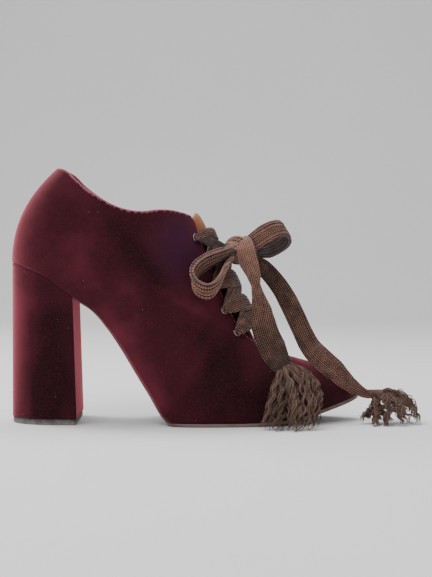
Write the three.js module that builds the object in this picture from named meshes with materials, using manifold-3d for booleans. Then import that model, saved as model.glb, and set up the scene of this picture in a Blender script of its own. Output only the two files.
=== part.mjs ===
// Laced ankle boot in cut velvet on a high block heel, for the right foot.
// Millimetres, +Z up, toe towards +X, outer side of the foot towards -Y.
// The origin is on the floor, under the middle of the boot's length and width.
import * as THREE from "three";
import { mergeVertices } from "three/addons/utils/BufferGeometryUtils.js";
import Module from "manifold-3d";

const wasm = await Module();
wasm.setup();

// Driving dimensions of the boot.
const LENGTH = 232; // back of the heel to the tip of the toe
const BALL_WIDTH = 79; // widest, over the ball of the foot
const SEAT_HEIGHT = 106.5; // floor to the seam at the back of the heel
const TOE_SPRING = 15; // lift of the sole's tip off the floor
const INSTEP_DEPTH = 80; // sole to ridge, square to the instep
const WALL = 2.2; // velvet, stiffener and lining together
const GAP = 0.3; // between pieces that meet
const FACET_ERROR = 0.07; // facets that differ by less are joined

// Sole, with the concealed platform under the forefoot in one piece.
const SOLE_THICKNESS = 2.2; // edge that shows under the forefoot
const SOLE_RIM = 0.6; // how far that edge stands out from the upper
const WAIST_THICKNESS = 0.9; // of the sole under the arch
const WAIST_INSET = 3.6; // of the sole's edge under the arch
const INSOLE_THICKNESS = 1.4;

// Block heel and its top lift.
const HEEL_DEPTH = 45; // back to breast, at the floor
const HEEL_WIDTH = 55; // at the floor
const LIFT_THICKNESS = 4;
const LIFT_INSET = 0.5;
const LIFT_BEVEL = 0.8;

// Tongue and lacing.
const TONGUE_THICKNESS = 2.4;
const TONGUE_SHARE = 0.34; // half its width, as a share of the way down the upper's side
const TONGUE_RISE = 6; // of its middle, which stands out between the facings
const TONGUE_RIDGE = 0.15; // half the raised middle's width, as a share like its own
const EYELETS_PER_SIDE = 5;
const EYELET_BORE = 1.7; // radius
const EYELET_BARREL = 2.1; // radius outside the barrel
const EYELET_FLANGE = 3; // radius
const EYELET_METAL = 0.5; // thickness of a flange
const EYELET_SET = 0.7; // from the lining to the flange inside, which is flat on a curved wall
const EYELET_PROUD = 0.55; // from the outer face to the flange outside
const EYELET_MARGIN = 5; // facing's edge to the middle of an eyelet
const EYELET_FIRST = 7; // top of the facing to the first eyelet
const EYELET_LAST = 31; // last eyelet to the end of the throat
const LACE_WIDTH = 13;
const LACE_THICKNESS = 2;
const CROSSING_WIDTH = 13; // of the lace half way across
const CROSSING_RISE = 2.8; // middle of the lace above the facing, at an eyelet
const CROSSING_BULGE = 4; // how much further it stands out half way across
const TOP_FULLNESS = 0.6; // of the topmost crossings, as a share of the others'

// One row for each cross-section, from the back of the heel to the tip of the toe.
// x: share of LENGTH; rise: share of the seat's height; spring: share of TOE_SPRING.
// forward and up: from the bottom line to the ridge, shares of INSTEP_DEPTH.
// foot and full: half-widths at the feather edge and at the fullest, shares of half BALL_WIDTH.
// shift and ridge: the middle's place at the bottom and at the ridge, shares of BALL_WIDTH.
// round: how full the section is; bow: how far it bows back, share of INSTEP_DEPTH.
// bed: height of the sole's upper face up the section, share of INSTEP_DEPTH.
const COLUMNS = [
  "x", "rise", "spring", "forward", "up", "foot", "full", "shift", "ridge", "round", "bow", "bed",
];
const SECTIONS = [
  [0, 1, 0, 0.55, 0.931, 0, 0, 0, 0, 2.3, 0.135, 0.05],
  [0.015, 0.997, 0, 0.545, 0.96, 0.342, 0.392, 0, 0, 2.3, 0.142, 0.05],
  [0.056, 0.966, 0, 0.525, 1.05, 0.595, 0.684, 0, 0, 2.3, 0.13, 0.05],
  [0.112, 0.907, 0, 0.5, 1.165, 0.69, 0.785, 0, 0, 2.2, 0.105, 0.05],
  [0.181, 0.793, 0, 0.475, 1.312, 0.696, 0.8, -0.003, 0, 2.2, 0.062, 0.05],
  [0.241, 0.702, 0, 0.5, 1.394, 0.645, 0.797, -0.012, 0, 2.2, 0.031, 0.05],
  [0.285, 0.586, 0, 0.55, 1.431, 0.6, 0.797, -0.021, 0, 2.1, 0.012, 0.055],
  [0.323, 0.461, 0, 0.575, 1.269, 0.595, 0.81, -0.032, 0, 2, 0, 0.06],
  [0.362, 0.317, 0, 0.587, 1.081, 0.633, 0.835, -0.038, 0.004, 1.8, 0, 0.075],
  [0.401, 0.178, 0, 0.6, 0.975, 0.709, 0.88, -0.038, 0.006, 1.75, 0, 0.12],
  [0.442, 0.034, 0, 0.606, 0.894, 0.823, 0.93, -0.032, 0.01, 1.75, 0, 0.2],
  [0.483, 0, 0, 0.619, 0.731, 0.906, 0.967, -0.023, 0.014, 1.8, 0, 0.19],
  [0.56, 0, 0, 0.525, 0.6, 0.97, 1, -0.012, 0.02, 2, 0, 0.16],
  [0.647, 0, 0, 0.4, 0.531, 0.96, 0.982, -0.004, 0.025, 2.05, 0, 0.15],
  [0.737, 0, 0.03, 0.262, 0.487, 0.885, 0.9, 0.004, 0.03, 2.1, 0, 0.15],
  [0.823, 0, 0.17, 0.144, 0.421, 0.745, 0.757, 0.013, 0.035, 2.2, 0, 0.14],
  [0.897, 0, 0.51, 0.069, 0.294, 0.577, 0.587, 0.023, 0.04, 2.2, 0, 0.11],
  [0.955, 0, 0.77, 0.031, 0.154, 0.385, 0.392, 0.035, 0.045, 2.2, 0, 0.07],
  [0.987, 0, 0.93, 0.012, 0.064, 0.2, 0.205, 0.046, 0.048, 2.2, 0, 0.03],
  [1, 0, 1, 0, 0.025, 0, 0, 0.05, 0.05, 2.2, 0, 0.012],
];
const LAST_STATION = SECTIONS.length - 1;
const FULLEST = 0.3; // where a section is widest, as a share of its height
const LOW_SHARE = 0.2; // of a section's points, below its widest place
const ROLL = 3; // how quickly the wall rolls in to the feather edge
const BOW_SKEW = 0.85;
const BASE = SOLE_THICKNESS + GAP; // feather edge of the forefoot, above the floor
const CENTRING = 0.0025; // share of BALL_WIDTH that puts the boot's width about the origin
const BACKSET = 0.65; // puts its length about the origin

// Stations, as numbers of rows above, where something starts or ends.
const SEAT_END = 4.05; // breast of the heel
const WAIST_END = 10.4; // where the sole's edge comes out from under the arch
const TOE_FILL = 17.7; // in front of this the toe is solid
const TONGUE_ENDS = [7.38, 12.6];
const TONGUE_FLAT = [10.4, 11.3]; // where its raised middle sinks to nothing

// Places round the heel, from -1 at the outer breast corner to 1 at the inner one.
const HEEL_ROUND = 2.5; // 2 is an ellipse, and more is squarer
const HEEL_TURN = evenly(-1, 1, 22);

// The top line, then the facing's edge down to the end of the throat:
// station, and share of the section's height.
const TOP_LINE = [
  [0, 0.8], [1.2, 0.765], [2.3, 0.705], [3.1, 0.635], [4, 0.59], [5, 0.58],
  [6.2, 0.7], [6.9, 0.85], [7.25, 0.925],
];
const FACING_EDGE = [
  [7.45, 0.945], [7.7, 0.94], [8.2, 0.935], [9, 0.92], [9.7, 0.92], [10.7, 0.925],
  [11.2, 0.935], [11.6, 0.965], [11.9, 1],
];

// The bow. A route's rows are x, y, z, then the way the lace's width lies as x, y, z,
// then its width as a share of LACE_WIDTH.
const KNOT = [35, -1, 115];
const KNOT_HALF = [10, 7.5, 9.5]; // half its size along X, Y and Z
const KNOT_LEAN = 0.5;
const STRANDS_END = [29.5, 0, 113.5]; // inside the knot
const KNOT_TURN = [
  [34, 5, 118.5, 0.85, 0, 0.5, 0.75],
  [36, 0, 121.3, 0.85, 0, 0.5, 0.8],
  [37.8, -5.5, 120.3, 0.85, 0, 0.5, 0.9],
  [39.3, -9.8, 116.5, 0.87, 0, 0.48, 1],
  [40.3, -11.3, 111.5, 0.9, 0, 0.45, 1.05],
];
const NEAR_LOOP = [
  [31.5, -7.5, 113, 0.3, -0.8, 0.5, 0.65],
  [27.5, -14.5, 113, 0.2, -0.75, 0.6, 0.9],
  [22.5, -20.5, 111.2, 0.1, -0.7, 0.7, 1],
  [17.2, -25, 109.2, 0, -0.67, 0.74, 1],
  [12, -28, 106.6, -0.1, -0.67, 0.74, 1],
  [7.8, -30.8, 102.8, -0.15, -0.67, 0.72, 1],
  [5.6, -33, 98, -0.15, -0.67, 0.72, 1],
  [6.6, -34.5, 92.8, -0.1, -0.67, 0.74, 1],
  [10.2, -35.3, 89.2, -0.05, -0.67, 0.74, 1],
  [14.8, -35.3, 88.2, 0, -0.67, 0.74, 1],
  [18.8, -33.5, 90.2, 0.1, -0.67, 0.74, 1],
  [21.8, -30, 94.4, 0.2, -0.67, 0.7, 1],
  [24.2, -25, 99.2, 0.3, -0.68, 0.66, 1],
  [27.2, -17.5, 104.8, 0.3, -0.72, 0.6, 0.8],
  [30, -10.5, 109, 0.2, -0.8, 0.55, 0.6],
];
const FAR_LOOP = [
  [41, -2, 117.5, -0.5, 0.3, 0.81, 0.8],
  [47, -6.5, 121.6, -0.5, 0.3, 0.81, 0.95],
  [53, -8.5, 125.7, -0.5, 0.3, 0.81, 1],
  [59.5, -7.2, 128.9, -0.5, 0.3, 0.81, 1],
  [65, -3, 129.4, -0.5, 0.3, 0.81, 1],
  [67.6, 2.2, 127, -0.5, 0.3, 0.81, 1],
  [66.4, 7.5, 122.8, -0.5, 0.3, 0.81, 1],
  [61.6, 11, 118.8, -0.5, 0.3, 0.81, 1],
  [55.4, 11.8, 115.6, -0.5, 0.3, 0.81, 1],
  [49.3, 10.2, 114.6, -0.5, 0.3, 0.81, 0.8],
  [42, 6, 114.5, -0.5, 0.3, 0.81, 0.6],
];
const NEAR_END = [
  [39.5, -11.5, 114.5, 0.9, -0.1, 0.4, 0.95],
  [42, -14, 106.5, 0.9, -0.25, 0.4, 1],
  [44.6, -14.8, 99.7, 0.85, -0.4, 0.35, 0.8],
  [46.6, -15, 91.8, 0.8, -0.5, 0.25, 0.5],
  [48.4, -15, 83.5, 0.85, -0.5, 0.1, 0.8],
  [50, -15.5, 75, 0.93, -0.3, 0.1, 1.1],
  [51.3, -17.5, 66.7, 0.97, -0.15, 0.15, 1.25],
  [53.6, -20.5, 58.3, 0.95, -0.15, 0.3, 1.35],
  [57, -24, 50.5, 0.9, -0.2, 0.4, 1.4],
  [60.6, -28, 43.8, 0.8, -0.3, 0.5, 1.25],
  [64.3, -32.5, 38.5, 0.75, -0.3, 0.5, 1],
];
const FAR_END = [
  [42, 0, 108.5, 0.5, 0, 0.85, 0.7],
  [51.5, 3, 103.5, 0.6, 0, 0.8, 0.85],
  [58.5, 6, 96.5, 0.7, 0, 0.6, 0.9],
  [64.5, 6, 88.5, 0.8, 0, 0.55, 0.95],
  [69.3, 4, 80, 0.87, 0, 0.5, 1],
  [73.8, 2, 70.5, 0.9, 0, 0.42, 1],
  [78.5, -1, 60, 0.88, 0.05, 0.47, 1],
  [83.4, -5, 50.3, 0.8, 0.05, 0.6, 1.05],
  [90.3, -12.5, 42.6, 0.62, 0.1, 0.78, 1.15],
  [98, -16, 36, 0.6, 0.1, 0.78, 1.1],
  [106.6, -16.5, 27.8, 0.6, 0.1, 0.78, 0.85],
  [114.6, -14, 22, 0.5, 0.1, 0.85, 0.6],
  [120.5, -12, 19, 0.2, 0.2, 0.95, 0.45],
  [125.2, -11.3, 18.8, 0.1, 0.3, 0.95, 0.45],
];

// The tassels: two ends of the bound head, then a row for each lock with a point on its way,
// its tip and its radius.
const NEAR_TASSEL = {
  head: [[64.6, -33.2, 38], [68.5, -38.5, 32.5]],
  locks: [
    [57, -43, 21, 50, -52, 3, 5],
    [61, -47, 18, 59, -56, 2.2, 5.5],
    [68, -48, 20, 68, -58, 2.2, 6],
    [75, -47, 22, 75, -57, 2.2, 5.5],
    [80, -44, 25, 81, -52, 3, 5.5],
    [82, -41, 29, 84, -47, 10, 4.5],
  ],
};
const FAR_TASSEL = {
  head: [[126.4, -11.3, 18.5], [135.5, -13.5, 17]],
  locks: [
    [123.5, -19, 10.5, 115.5, -23, 5, 4],
    [127, -22, 11, 124, -34, 2.2, 5],
    [132, -23, 12, 131.5, -36, 2.2, 4.5],
    [138, -22, 12, 141, -35, 2.2, 5],
    [144, -17, 14, 151, -29, 2.2, 5],
    [145, -12, 15, 153, -14, 5, 4],
  ],
};

// The value of one column at a station: cubic between rows, and level where the column turns.
// Past an end the column runs on as its mirror image, which closes the heel and the toe round.
function column(rows, index, station, passesZero = false) {
  const last = rows.length - 1;
  const sign = passesZero ? -1 : 1;
  const value = (i) => {
    if (i < 0) return sign * rows[-i][index];
    if (i > last) return sign * rows[2 * last - i][index];
    return rows[i][index];
  };
  const slope = (i) => {
    const before = value(i) - value(i - 1);
    const after = value(i + 1) - value(i);
    return before * after <= 0 ? 0 : (before + after) / 2;
  };
  const i = Math.floor(station);
  const t = station - i;
  return (
    value(i) * (1 + 2 * t) * (1 - t) ** 2 +
    value(i + 1) * t * t * (3 - 2 * t) +
    slope(i) * t * (1 - t) ** 2 -
    slope(i + 1) * t * t * (1 - t)
  );
}

// All the columns at a station, in millimetres.
function sectionAt(station) {
  const share = {};
  COLUMNS.forEach((name, i) => {
    share[name] = column(SECTIONS, i, station, name === "foot" || name === "full");
  });
  const x = (share.x - 0.5) * LENGTH - BACKSET;
  const z = BASE + share.rise * (SEAT_HEIGHT - BASE) + share.spring * TOE_SPRING;
  return {
    bottom: new THREE.Vector2(x, z),
    top: new THREE.Vector2(x + share.forward * INSTEP_DEPTH, z + share.up * INSTEP_DEPTH),
    foot: (share.foot * BALL_WIDTH) / 2,
    full: (share.full * BALL_WIDTH) / 2,
    shift: (share.shift + CENTRING) * BALL_WIDTH,
    ridge: (share.ridge + CENTRING) * BALL_WIDTH,
    round: share.round,
    bow: share.bow * INSTEP_DEPTH,
    bed: share.bed * INSTEP_DEPTH,
  };
}

// The middle of a section, a share of its height up, in the XZ plane.
function spine(section, up) {
  const line = section.top.clone().sub(section.bottom);
  const back = new THREE.Vector2(-line.y, line.x).normalize();
  const bowed = section.bow * Math.sin(Math.PI * Math.max(up, 0) ** BOW_SKEW);
  return section.bottom.clone().addScaledVector(line, up).addScaledVector(back, bowed);
}

// A point of the upper's outer face. across runs from -1 at the outer feather edge,
// through 0 at the ridge, to 1 at the inner feather edge.
function facePoint(station, across) {
  const section = sectionAt(station);
  const climb = 1 - Math.abs(across);
  let up;
  let half;
  if (climb < LOW_SHARE) {
    up = (FULLEST * climb) / LOW_SHARE;
    half = section.foot + (section.full - section.foot) * (1 - (1 - climb / LOW_SHARE) ** ROLL);
  } else {
    const angle = ((climb - LOW_SHARE) / (1 - LOW_SHARE)) * (Math.PI / 2);
    up = FULLEST + (1 - FULLEST) * Math.sin(angle) ** (2 / section.round);
    half = section.full * Math.max(Math.cos(angle), 0) ** (2 / section.round);
  }
  const middle = spine(section, up);
  const side = section.shift * (1 - up) + section.ridge * up + Math.sign(across) * half;
  return new THREE.Vector3(middle.x, side, middle.y);
}

// The value of across at a share of the section's height, on the inner side of the foot.
function acrossAt(station, up) {
  if (up < FULLEST) return 1 - (LOW_SHARE * up) / FULLEST;
  const reach = Math.min((up - FULLEST) / (1 - FULLEST), 1);
  const angle = Math.asin(reach ** (sectionAt(station).round / 2));
  return 1 - LOW_SHARE - (1 - LOW_SHARE) * (angle / (Math.PI / 2));
}

// Unit normal of the outer face, pointing out.
function faceNormal(station, across) {
  const step = 0.01;
  const left = Math.max(across - step, -1);
  const right = Math.min(across + step, 1);
  const alongStations = facePoint(station + step, across).sub(facePoint(station - step, across));
  const alongSection = facePoint(station, right).sub(facePoint(station, left));
  return alongStations.cross(alongSection).normalize();
}

// A point a distance out from the outer face, or in from it where the distance is negative.
function skinPoint(station, across, out) {
  return facePoint(station, across).addScaledVector(faceNormal(station, across), out);
}

// Unit vector square to the bottom line of the boot, pointing down, in the XZ plane.
function downAt(station) {
  const inside = THREE.MathUtils.clamp(station, 0.3, LAST_STATION - 0.3);
  const line = sectionAt(inside + 0.05).bottom.sub(sectionAt(inside - 0.05).bottom).normalize();
  return new THREE.Vector3(line.y, 0, -line.x);
}

// A closed solid from rings of points, each ring a loop of the same number of points.
// An end that has not shrunk to a line is closed by pairing the ring's first half with its last.
function solidOfRings(rings) {
  const count = rings[0].length;
  const index = new Map();
  const coordinates = [];
  const number = (point) => {
    const key = point.toArray().map((value) => value.toFixed(4)).join();
    if (!index.has(key)) {
      index.set(key, coordinates.length / 3);
      coordinates.push(...point.toArray());
    }
    return index.get(key);
  };
  const loops = rings.map((ring) => ring.map(number));
  const faces = [];
  const face = (a, b, c) => {
    if (a !== b && b !== c && c !== a) faces.push(a, b, c);
  };
  for (let i = 0; i + 1 < loops.length; i++) {
    for (let j = 0; j < count; j++) {
      const k = (j + 1) % count;
      face(loops[i][j], loops[i + 1][j], loops[i + 1][k]);
      face(loops[i][j], loops[i + 1][k], loops[i][k]);
    }
  }
  for (const [loop, turned] of [[loops[0], false], [loops[loops.length - 1], true]]) {
    for (let j = 0; j + 1 < count / 2; j++) {
      const quad = [loop[j], loop[j + 1], loop[count - 2 - j], loop[count - 1 - j]];
      if (turned) quad.reverse();
      face(quad[0], quad[1], quad[2]);
      face(quad[0], quad[2], quad[3]);
    }
  }
  return solidOf(coordinates, faces);
}

// A solid from coordinates and faces, turned so that its faces point out.
function solidOf(coordinates, faces) {
  const build = (triangles) => new wasm.Manifold(new wasm.Mesh({
    numProp: 3,
    vertProperties: new Float32Array(coordinates),
    triVerts: new Uint32Array(triangles),
  }));
  const solid = build(faces);
  return solid.volume() < 0 ? build(faces.toReversed()) : solid;
}

// A solid from a closed three.js geometry.
function solidOfGeometry(geometry) {
  const bare = geometry.clone();
  bare.deleteAttribute("normal");
  bare.deleteAttribute("uv");
  const merged = mergeVertices(bare, 1e-3);
  return solidOf([...merged.attributes.position.array], [...merged.index.array]);
}

// A three.js geometry from a solid.
function geometryOfSolid(solid) {
  const mesh = solid.simplify(FACET_ERROR).getMesh();
  const geometry = new THREE.BufferGeometry();
  geometry.setAttribute("position", new THREE.BufferAttribute(mesh.vertProperties, 3));
  geometry.setIndex(new THREE.BufferAttribute(mesh.triVerts, 1));
  geometry.computeVertexNormals();
  return geometry;
}

function evenly(from, to, steps) {
  return Array.from({ length: steps + 1 }, (_, i) => from + ((to - from) * i) / steps);
}

// Stations of a loft's rings, closer together where the heel and the toe turn round.
function stationsBetween(from, to) {
  const rounding = [0, 0.12, 0.3, 0.55, 0.8, 18.15, 18.35, 18.6, 18.82, 18.94, 19];
  const between = [...rounding, ...evenly(1, 18, 25)].filter((s) => s > from + 0.03 && s < to - 0.03);
  return [from, ...between, to].sort((a, b) => a - b);
}

// Places round a section, from the outer feather edge over the ridge to the inner one.
const QUARTER = [...evenly(1, 1 - LOW_SHARE, 3), ...evenly(1 - LOW_SHARE, 0, 8).slice(1, -1)];
const ROUND = [...QUARTER.map((across) => -across), 0, ...QUARTER.toReversed()];

// What lies a distance inside the upper's outer face, run on below its feather edge.
function hollow(distance, from, to) {
  return solidOfRings(stationsBetween(from, to).map((station) => {
    const wall = ROUND.map((across) => skinPoint(station, across, -distance));
    const drop = downAt(station).multiplyScalar(3 * WALL);
    return [wall[0].clone().add(drop), ...wall, wall[wall.length - 1].clone().add(drop)];
  }));
}

// The upper: one wall, open underneath, at the collar and down the throat.
function upper() {
  const outside = solidOfRings(stationsBetween(0, LAST_STATION).map((station) => (
    ROUND.map((across) => facePoint(station, across))
  )));
  const holes = eyeletPlaces().map((place) => {
    const hole = new THREE.CylinderGeometry(EYELET_BARREL + GAP, EYELET_BARREL + GAP, 6 * WALL, 8);
    return solidOfGeometry(hole.applyMatrix4(frameOn(place)));
  });
  return outside
    .subtract(hollow(WALL, 0, TOE_FILL))
    .subtract(throatCutter())
    .subtract(wasm.Manifold.union(holes));
}

// Everything above the top line and in front of the facing's edge.
function throatCutter() {
  const line = (rows) => {
    const points = rows.map(([station, up]) => spine(sectionAt(station), up));
    return new THREE.SplineCurve(points).getPoints(rows.length * 2);
  };
  const topLine = line(TOP_LINE);
  const edge = line(FACING_EDGE);
  const end = sectionAt(FACING_EDGE[FACING_EDGE.length - 1][0]);
  const outward = end.top.clone().sub(end.bottom).normalize().multiplyScalar(INSTEP_DEPTH);
  const above = SEAT_HEIGHT + 2 * INSTEP_DEPTH;
  const outline = new THREE.Shape([
    topLine[0].clone().add(new THREE.Vector2(-INSTEP_DEPTH, 0)),
    ...topLine,
    ...edge,
    end.top.clone().add(outward),
    new THREE.Vector2(LENGTH, above),
    new THREE.Vector2(-LENGTH, above),
  ]);
  const prism = new THREE.ExtrudeGeometry(outline, { depth: 2 * BALL_WIDTH, bevelEnabled: false });
  prism.rotateX(Math.PI / 2);
  prism.translate(0, BALL_WIDTH, 0);
  return solidOfGeometry(prism);
}

// Share of the section's height at which the facing's edge runs, at a station.
function facingShare(station) {
  const after = FACING_EDGE.findIndex(([end]) => end >= station);
  const [from, low] = FACING_EDGE[Math.max(after - 1, 0)];
  const [to, high] = FACING_EDGE[Math.max(after, 1)];
  return THREE.MathUtils.mapLinear(station, from, to, low, high);
}

// Stations of the eyelets, evenly spaced along the facing's edge.
function eyeletStations() {
  const walk = evenly(FACING_EDGE[0][0], FACING_EDGE[FACING_EDGE.length - 1][0], 400);
  const edge = walk.map((station) => facePoint(station, acrossAt(station, facingShare(station))));
  const travelled = [0];
  for (let i = 1; i < walk.length; i++) {
    travelled.push(travelled[i - 1] + edge[i].distanceTo(edge[i - 1]));
  }
  const length = travelled[travelled.length - 1];
  return evenly(EYELET_FIRST, length - EYELET_LAST, EYELETS_PER_SIDE - 1).map((distance) => (
    walk[travelled.findIndex((value) => value >= distance)]
  ));
}

// Places of the eyelets, outer side first, each from the top down.
function eyeletPlaces() {
  const inner = eyeletStations().map((station) => {
    const edgeAcross = acrossAt(station, facingShare(station));
    const edge = facePoint(station, edgeAcross);
    let across = edgeAcross;
    while (facePoint(station, across).distanceTo(edge) < EYELET_MARGIN) across += 0.002;
    return { station, across };
  });
  return [...inner.map(({ station, across }) => ({ station, across: -across })), ...inner];
}

// The frame that stands on the outer face at a place, with +Y pointing out of it.
function frameOn({ station, across }) {
  const turn = new THREE.Quaternion().setFromUnitVectors(
    new THREE.Vector3(0, 1, 0), faceNormal(station, across),
  );
  return new THREE.Matrix4().compose(
    facePoint(station, across), turn, new THREE.Vector3(1, 1, 1),
  );
}

// One eyelet about +Y: a flange outside, a barrel through the wall and a flange inside.
function eyelet() {
  const inside = -(WALL + EYELET_SET);
  const profile = [
    [EYELET_BORE, inside - EYELET_METAL], [EYELET_FLANGE, inside - EYELET_METAL],
    [EYELET_FLANGE, inside], [EYELET_BARREL, inside],
    [EYELET_BARREL, EYELET_PROUD], [EYELET_FLANGE, EYELET_PROUD],
    [EYELET_BARREL, EYELET_PROUD + EYELET_METAL], [EYELET_BORE, EYELET_PROUD + EYELET_METAL],
    [EYELET_BORE, inside - EYELET_METAL],
  ];
  const points = profile.map(([radius, height]) => new THREE.Vector2(radius, height));
  return solidOfGeometry(new THREE.LatheGeometry(points, 8));
}

// A point of the edge that is offset out from the feather edge and dropped below it.
// side is -1 for the outer side and 1 for the inner one.
function edgePoint(station, side, out, drop) {
  const step = 0.02;
  const down = downAt(station);
  const along = facePoint(station + step, side).sub(facePoint(station - step, side));
  const outward = along.cross(down).multiplyScalar(side).normalize();
  return facePoint(station, side).addScaledVector(outward, out).addScaledVector(down, drop);
}

// Share of a section's height that lies a distance above the bottom line, square to it.
function shareAbove(station, height) {
  const { top, bottom } = sectionAt(station);
  const down = downAt(station);
  return height / -(top.clone().sub(bottom).dot(new THREE.Vector2(down.x, down.z)));
}

// A slab over the bottom line, wider than the boot, between two heights.
function slab(from, to, lowAt, highAt) {
  return solidOfRings(stationsBetween(from, to).map((station) => {
    const section = sectionAt(station);
    const corner = (height, side) => {
      const middle = spine(section, shareAbove(station, height));
      return new THREE.Vector3(middle.x, side * BALL_WIDTH, middle.y);
    };
    const low = lowAt(station, section);
    const high = highAt(station, section);
    return [corner(low, -1), corner(high, -1), corner(high, 1), corner(low, 1)];
  }));
}

// The sole: a plug that fills the upper up to the bed, which is the concealed platform
// under the forefoot, and the thin plate whose edge shows from the waist to the toe.
function sole() {
  const end = TOE_FILL - 0.12;
  const under = (station) => (station > SEAT_END + 0.1 ? -GAP - WAIST_THICKNESS / 2 : 0);
  const plug = hollow(WALL + GAP, 0, end).intersect(
    slab(-0.2, end + 0.1, under, (station, { bed }) => bed),
  );
  const plate = solidOfRings(stationsBetween(SEAT_END + 0.06, LAST_STATION).map((station) => {
    const spread = THREE.MathUtils.smoothstep(station, WAIST_END - 0.9, WAIST_END + 0.9);
    const out = THREE.MathUtils.lerp(-WAIST_INSET, SOLE_RIM, spread);
    const drop = THREE.MathUtils.lerp(WAIST_THICKNESS + GAP, BASE, spread);
    const bevel = WAIST_THICKNESS / 3;
    const sides = [-1, 1].map((side) => [
      edgePoint(station, side, out - bevel, drop),
      edgePoint(station, side, out, drop - bevel),
      edgePoint(station, side, out, GAP),
    ]);
    return [...sides[0], ...sides[1].toReversed()];
  }));
  return plug.add(plate);
}

// The insole, on the sole's bed and clear of the wall.
function insole() {
  const end = TOE_FILL - 0.7;
  return hollow(WALL + 2 * GAP, 0, end).intersect(slab(
    -0.2, end + 0.1,
    (station, { bed }) => bed + GAP,
    (station, { bed }) => bed + GAP + INSOLE_THICKNESS,
  ));
}

// The heel's outline on a level, from its outer breast corner round the back to the inner one.
function heelOutline(inset, height) {
  const back = -LENGTH / 2 - BACKSET + inset;
  const breast = back + HEEL_DEPTH - 2 * inset;
  const half = HEEL_WIDTH / 2 - inset;
  const power = 2 / HEEL_ROUND;
  return HEEL_TURN.map((turn) => {
    const angle = (turn * Math.PI) / 2;
    const x = breast - (breast - back) * Math.cos(angle) ** power;
    const y = Math.sign(angle) * half * Math.abs(Math.sin(angle)) ** power;
    return new THREE.Vector3(x, y + CENTRING * BALL_WIDTH, height);
  });
}

// The covered block heel, from under the seat of the upper down to the lift.
function heel() {
  const top = HEEL_TURN.map((turn) => (
    edgePoint(SEAT_END * Math.abs(turn), turn < 0 ? -1 : 1, 0, GAP)
  ));
  const bottom = heelOutline(0, LIFT_THICKNESS + GAP);
  return solidOfRings(evenly(0, 1, 6).map((share) => (
    top.map((point, i) => point.clone().lerp(bottom[i], share))
  )));
}

// The top lift, with its lower rim bevelled.
function heelLift() {
  return solidOfRings([
    heelOutline(LIFT_INSET + LIFT_BEVEL, 0),
    heelOutline(LIFT_INSET, LIFT_BEVEL),
    heelOutline(LIFT_INSET, LIFT_THICKNESS),
  ]);
}

// The tongue, under the facings and the eyelets, with its lower end under the vamp.
// Between the facings its middle rises in a smooth ridge.
function tongue() {
  const depth = WALL + EYELET_SET + EYELET_METAL + GAP;
  const faceAt = (station, place) => {
    const left = (TONGUE_FLAT[1] - station) / (TONGUE_FLAT[1] - TONGUE_FLAT[0]);
    const roll = Math.max(1 - 2 * (station - TONGUE_ENDS[0]), 0);
    const rise = TONGUE_RISE * THREE.MathUtils.clamp(left, 0, 1) * (1 - 0.45 * roll ** 2);
    const share = Math.min(Math.abs(place) / TONGUE_RIDGE, 1);
    return rise * (1 - share ** 2) ** 2 - depth;
  };
  const end = TONGUE_ENDS[1] - TONGUE_ENDS[0];
  return solidOfRings(evenly(0, 1, 14).map((share) => {
    const station = TONGUE_ENDS[0] + end * share;
    const half = TONGUE_SHARE * Math.min(1, 0.35 + 4 * share) * (1 - 0.2 * share ** 4);
    const across = evenly(-half, half, 8);
    return [
      ...across.map((place) => skinPoint(station, place, faceAt(station, place))),
      ...across.toReversed().map((place) => (
        skinPoint(station, place, faceAt(station, place) - TONGUE_THICKNESS)
      )),
    ];
  }));
}

// Sections of the lace, as shares of half its width and half its thickness.
const STRIP_SECTION = [[1, 0], [0.85, 1], [-0.85, 1], [-1, 0], [-0.85, -1], [0.85, -1]];
const CROSSING_SECTION = [[1, -1], [1, 1], [-1, 1], [-1, -1]];

// A flat strip along points, each with the way its width lies and its width.
// Its section is a rectangle with its edges cut to a blunt point.
function strip(rows, thickness, section = STRIP_SECTION) {
  return solidOfRings(rows.map(({ point, across, width }, i) => {
    const before = rows[Math.max(i - 1, 0)].point;
    const after = rows[Math.min(i + 1, rows.length - 1)].point;
    const along = after.clone().sub(before).normalize();
    const side = across.clone().addScaledVector(along, -across.dot(along)).normalize();
    const face = along.clone().cross(side);
    return section.map(([u, v]) => (
      point.clone().addScaledVector(side, (u * width) / 2).addScaledVector(face, (v * thickness) / 2)
    ));
  }));
}

// The rows of a strip along a route, smooth between the route's points.
function routeRows(route, steps) {
  const curve = new THREE.CatmullRomCurve3(
    route.map(([x, y, z]) => new THREE.Vector3(x, y, z)), false, "centripetal",
  );
  const last = route.length - 1;
  return evenly(0, 1, steps).map((share) => {
    const i = Math.min(Math.floor(share * last), last - 1);
    const t = share * last - i;
    const across = new THREE.Vector3(...route[i].slice(3, 6)).normalize()
      .lerp(new THREE.Vector3(...route[i + 1].slice(3, 6)).normalize(), t).normalize();
    const width = THREE.MathUtils.lerp(route[i][6], route[i + 1][6], t) * LACE_WIDTH;
    return { point: curve.getPoint(share), across, width };
  });
}

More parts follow.
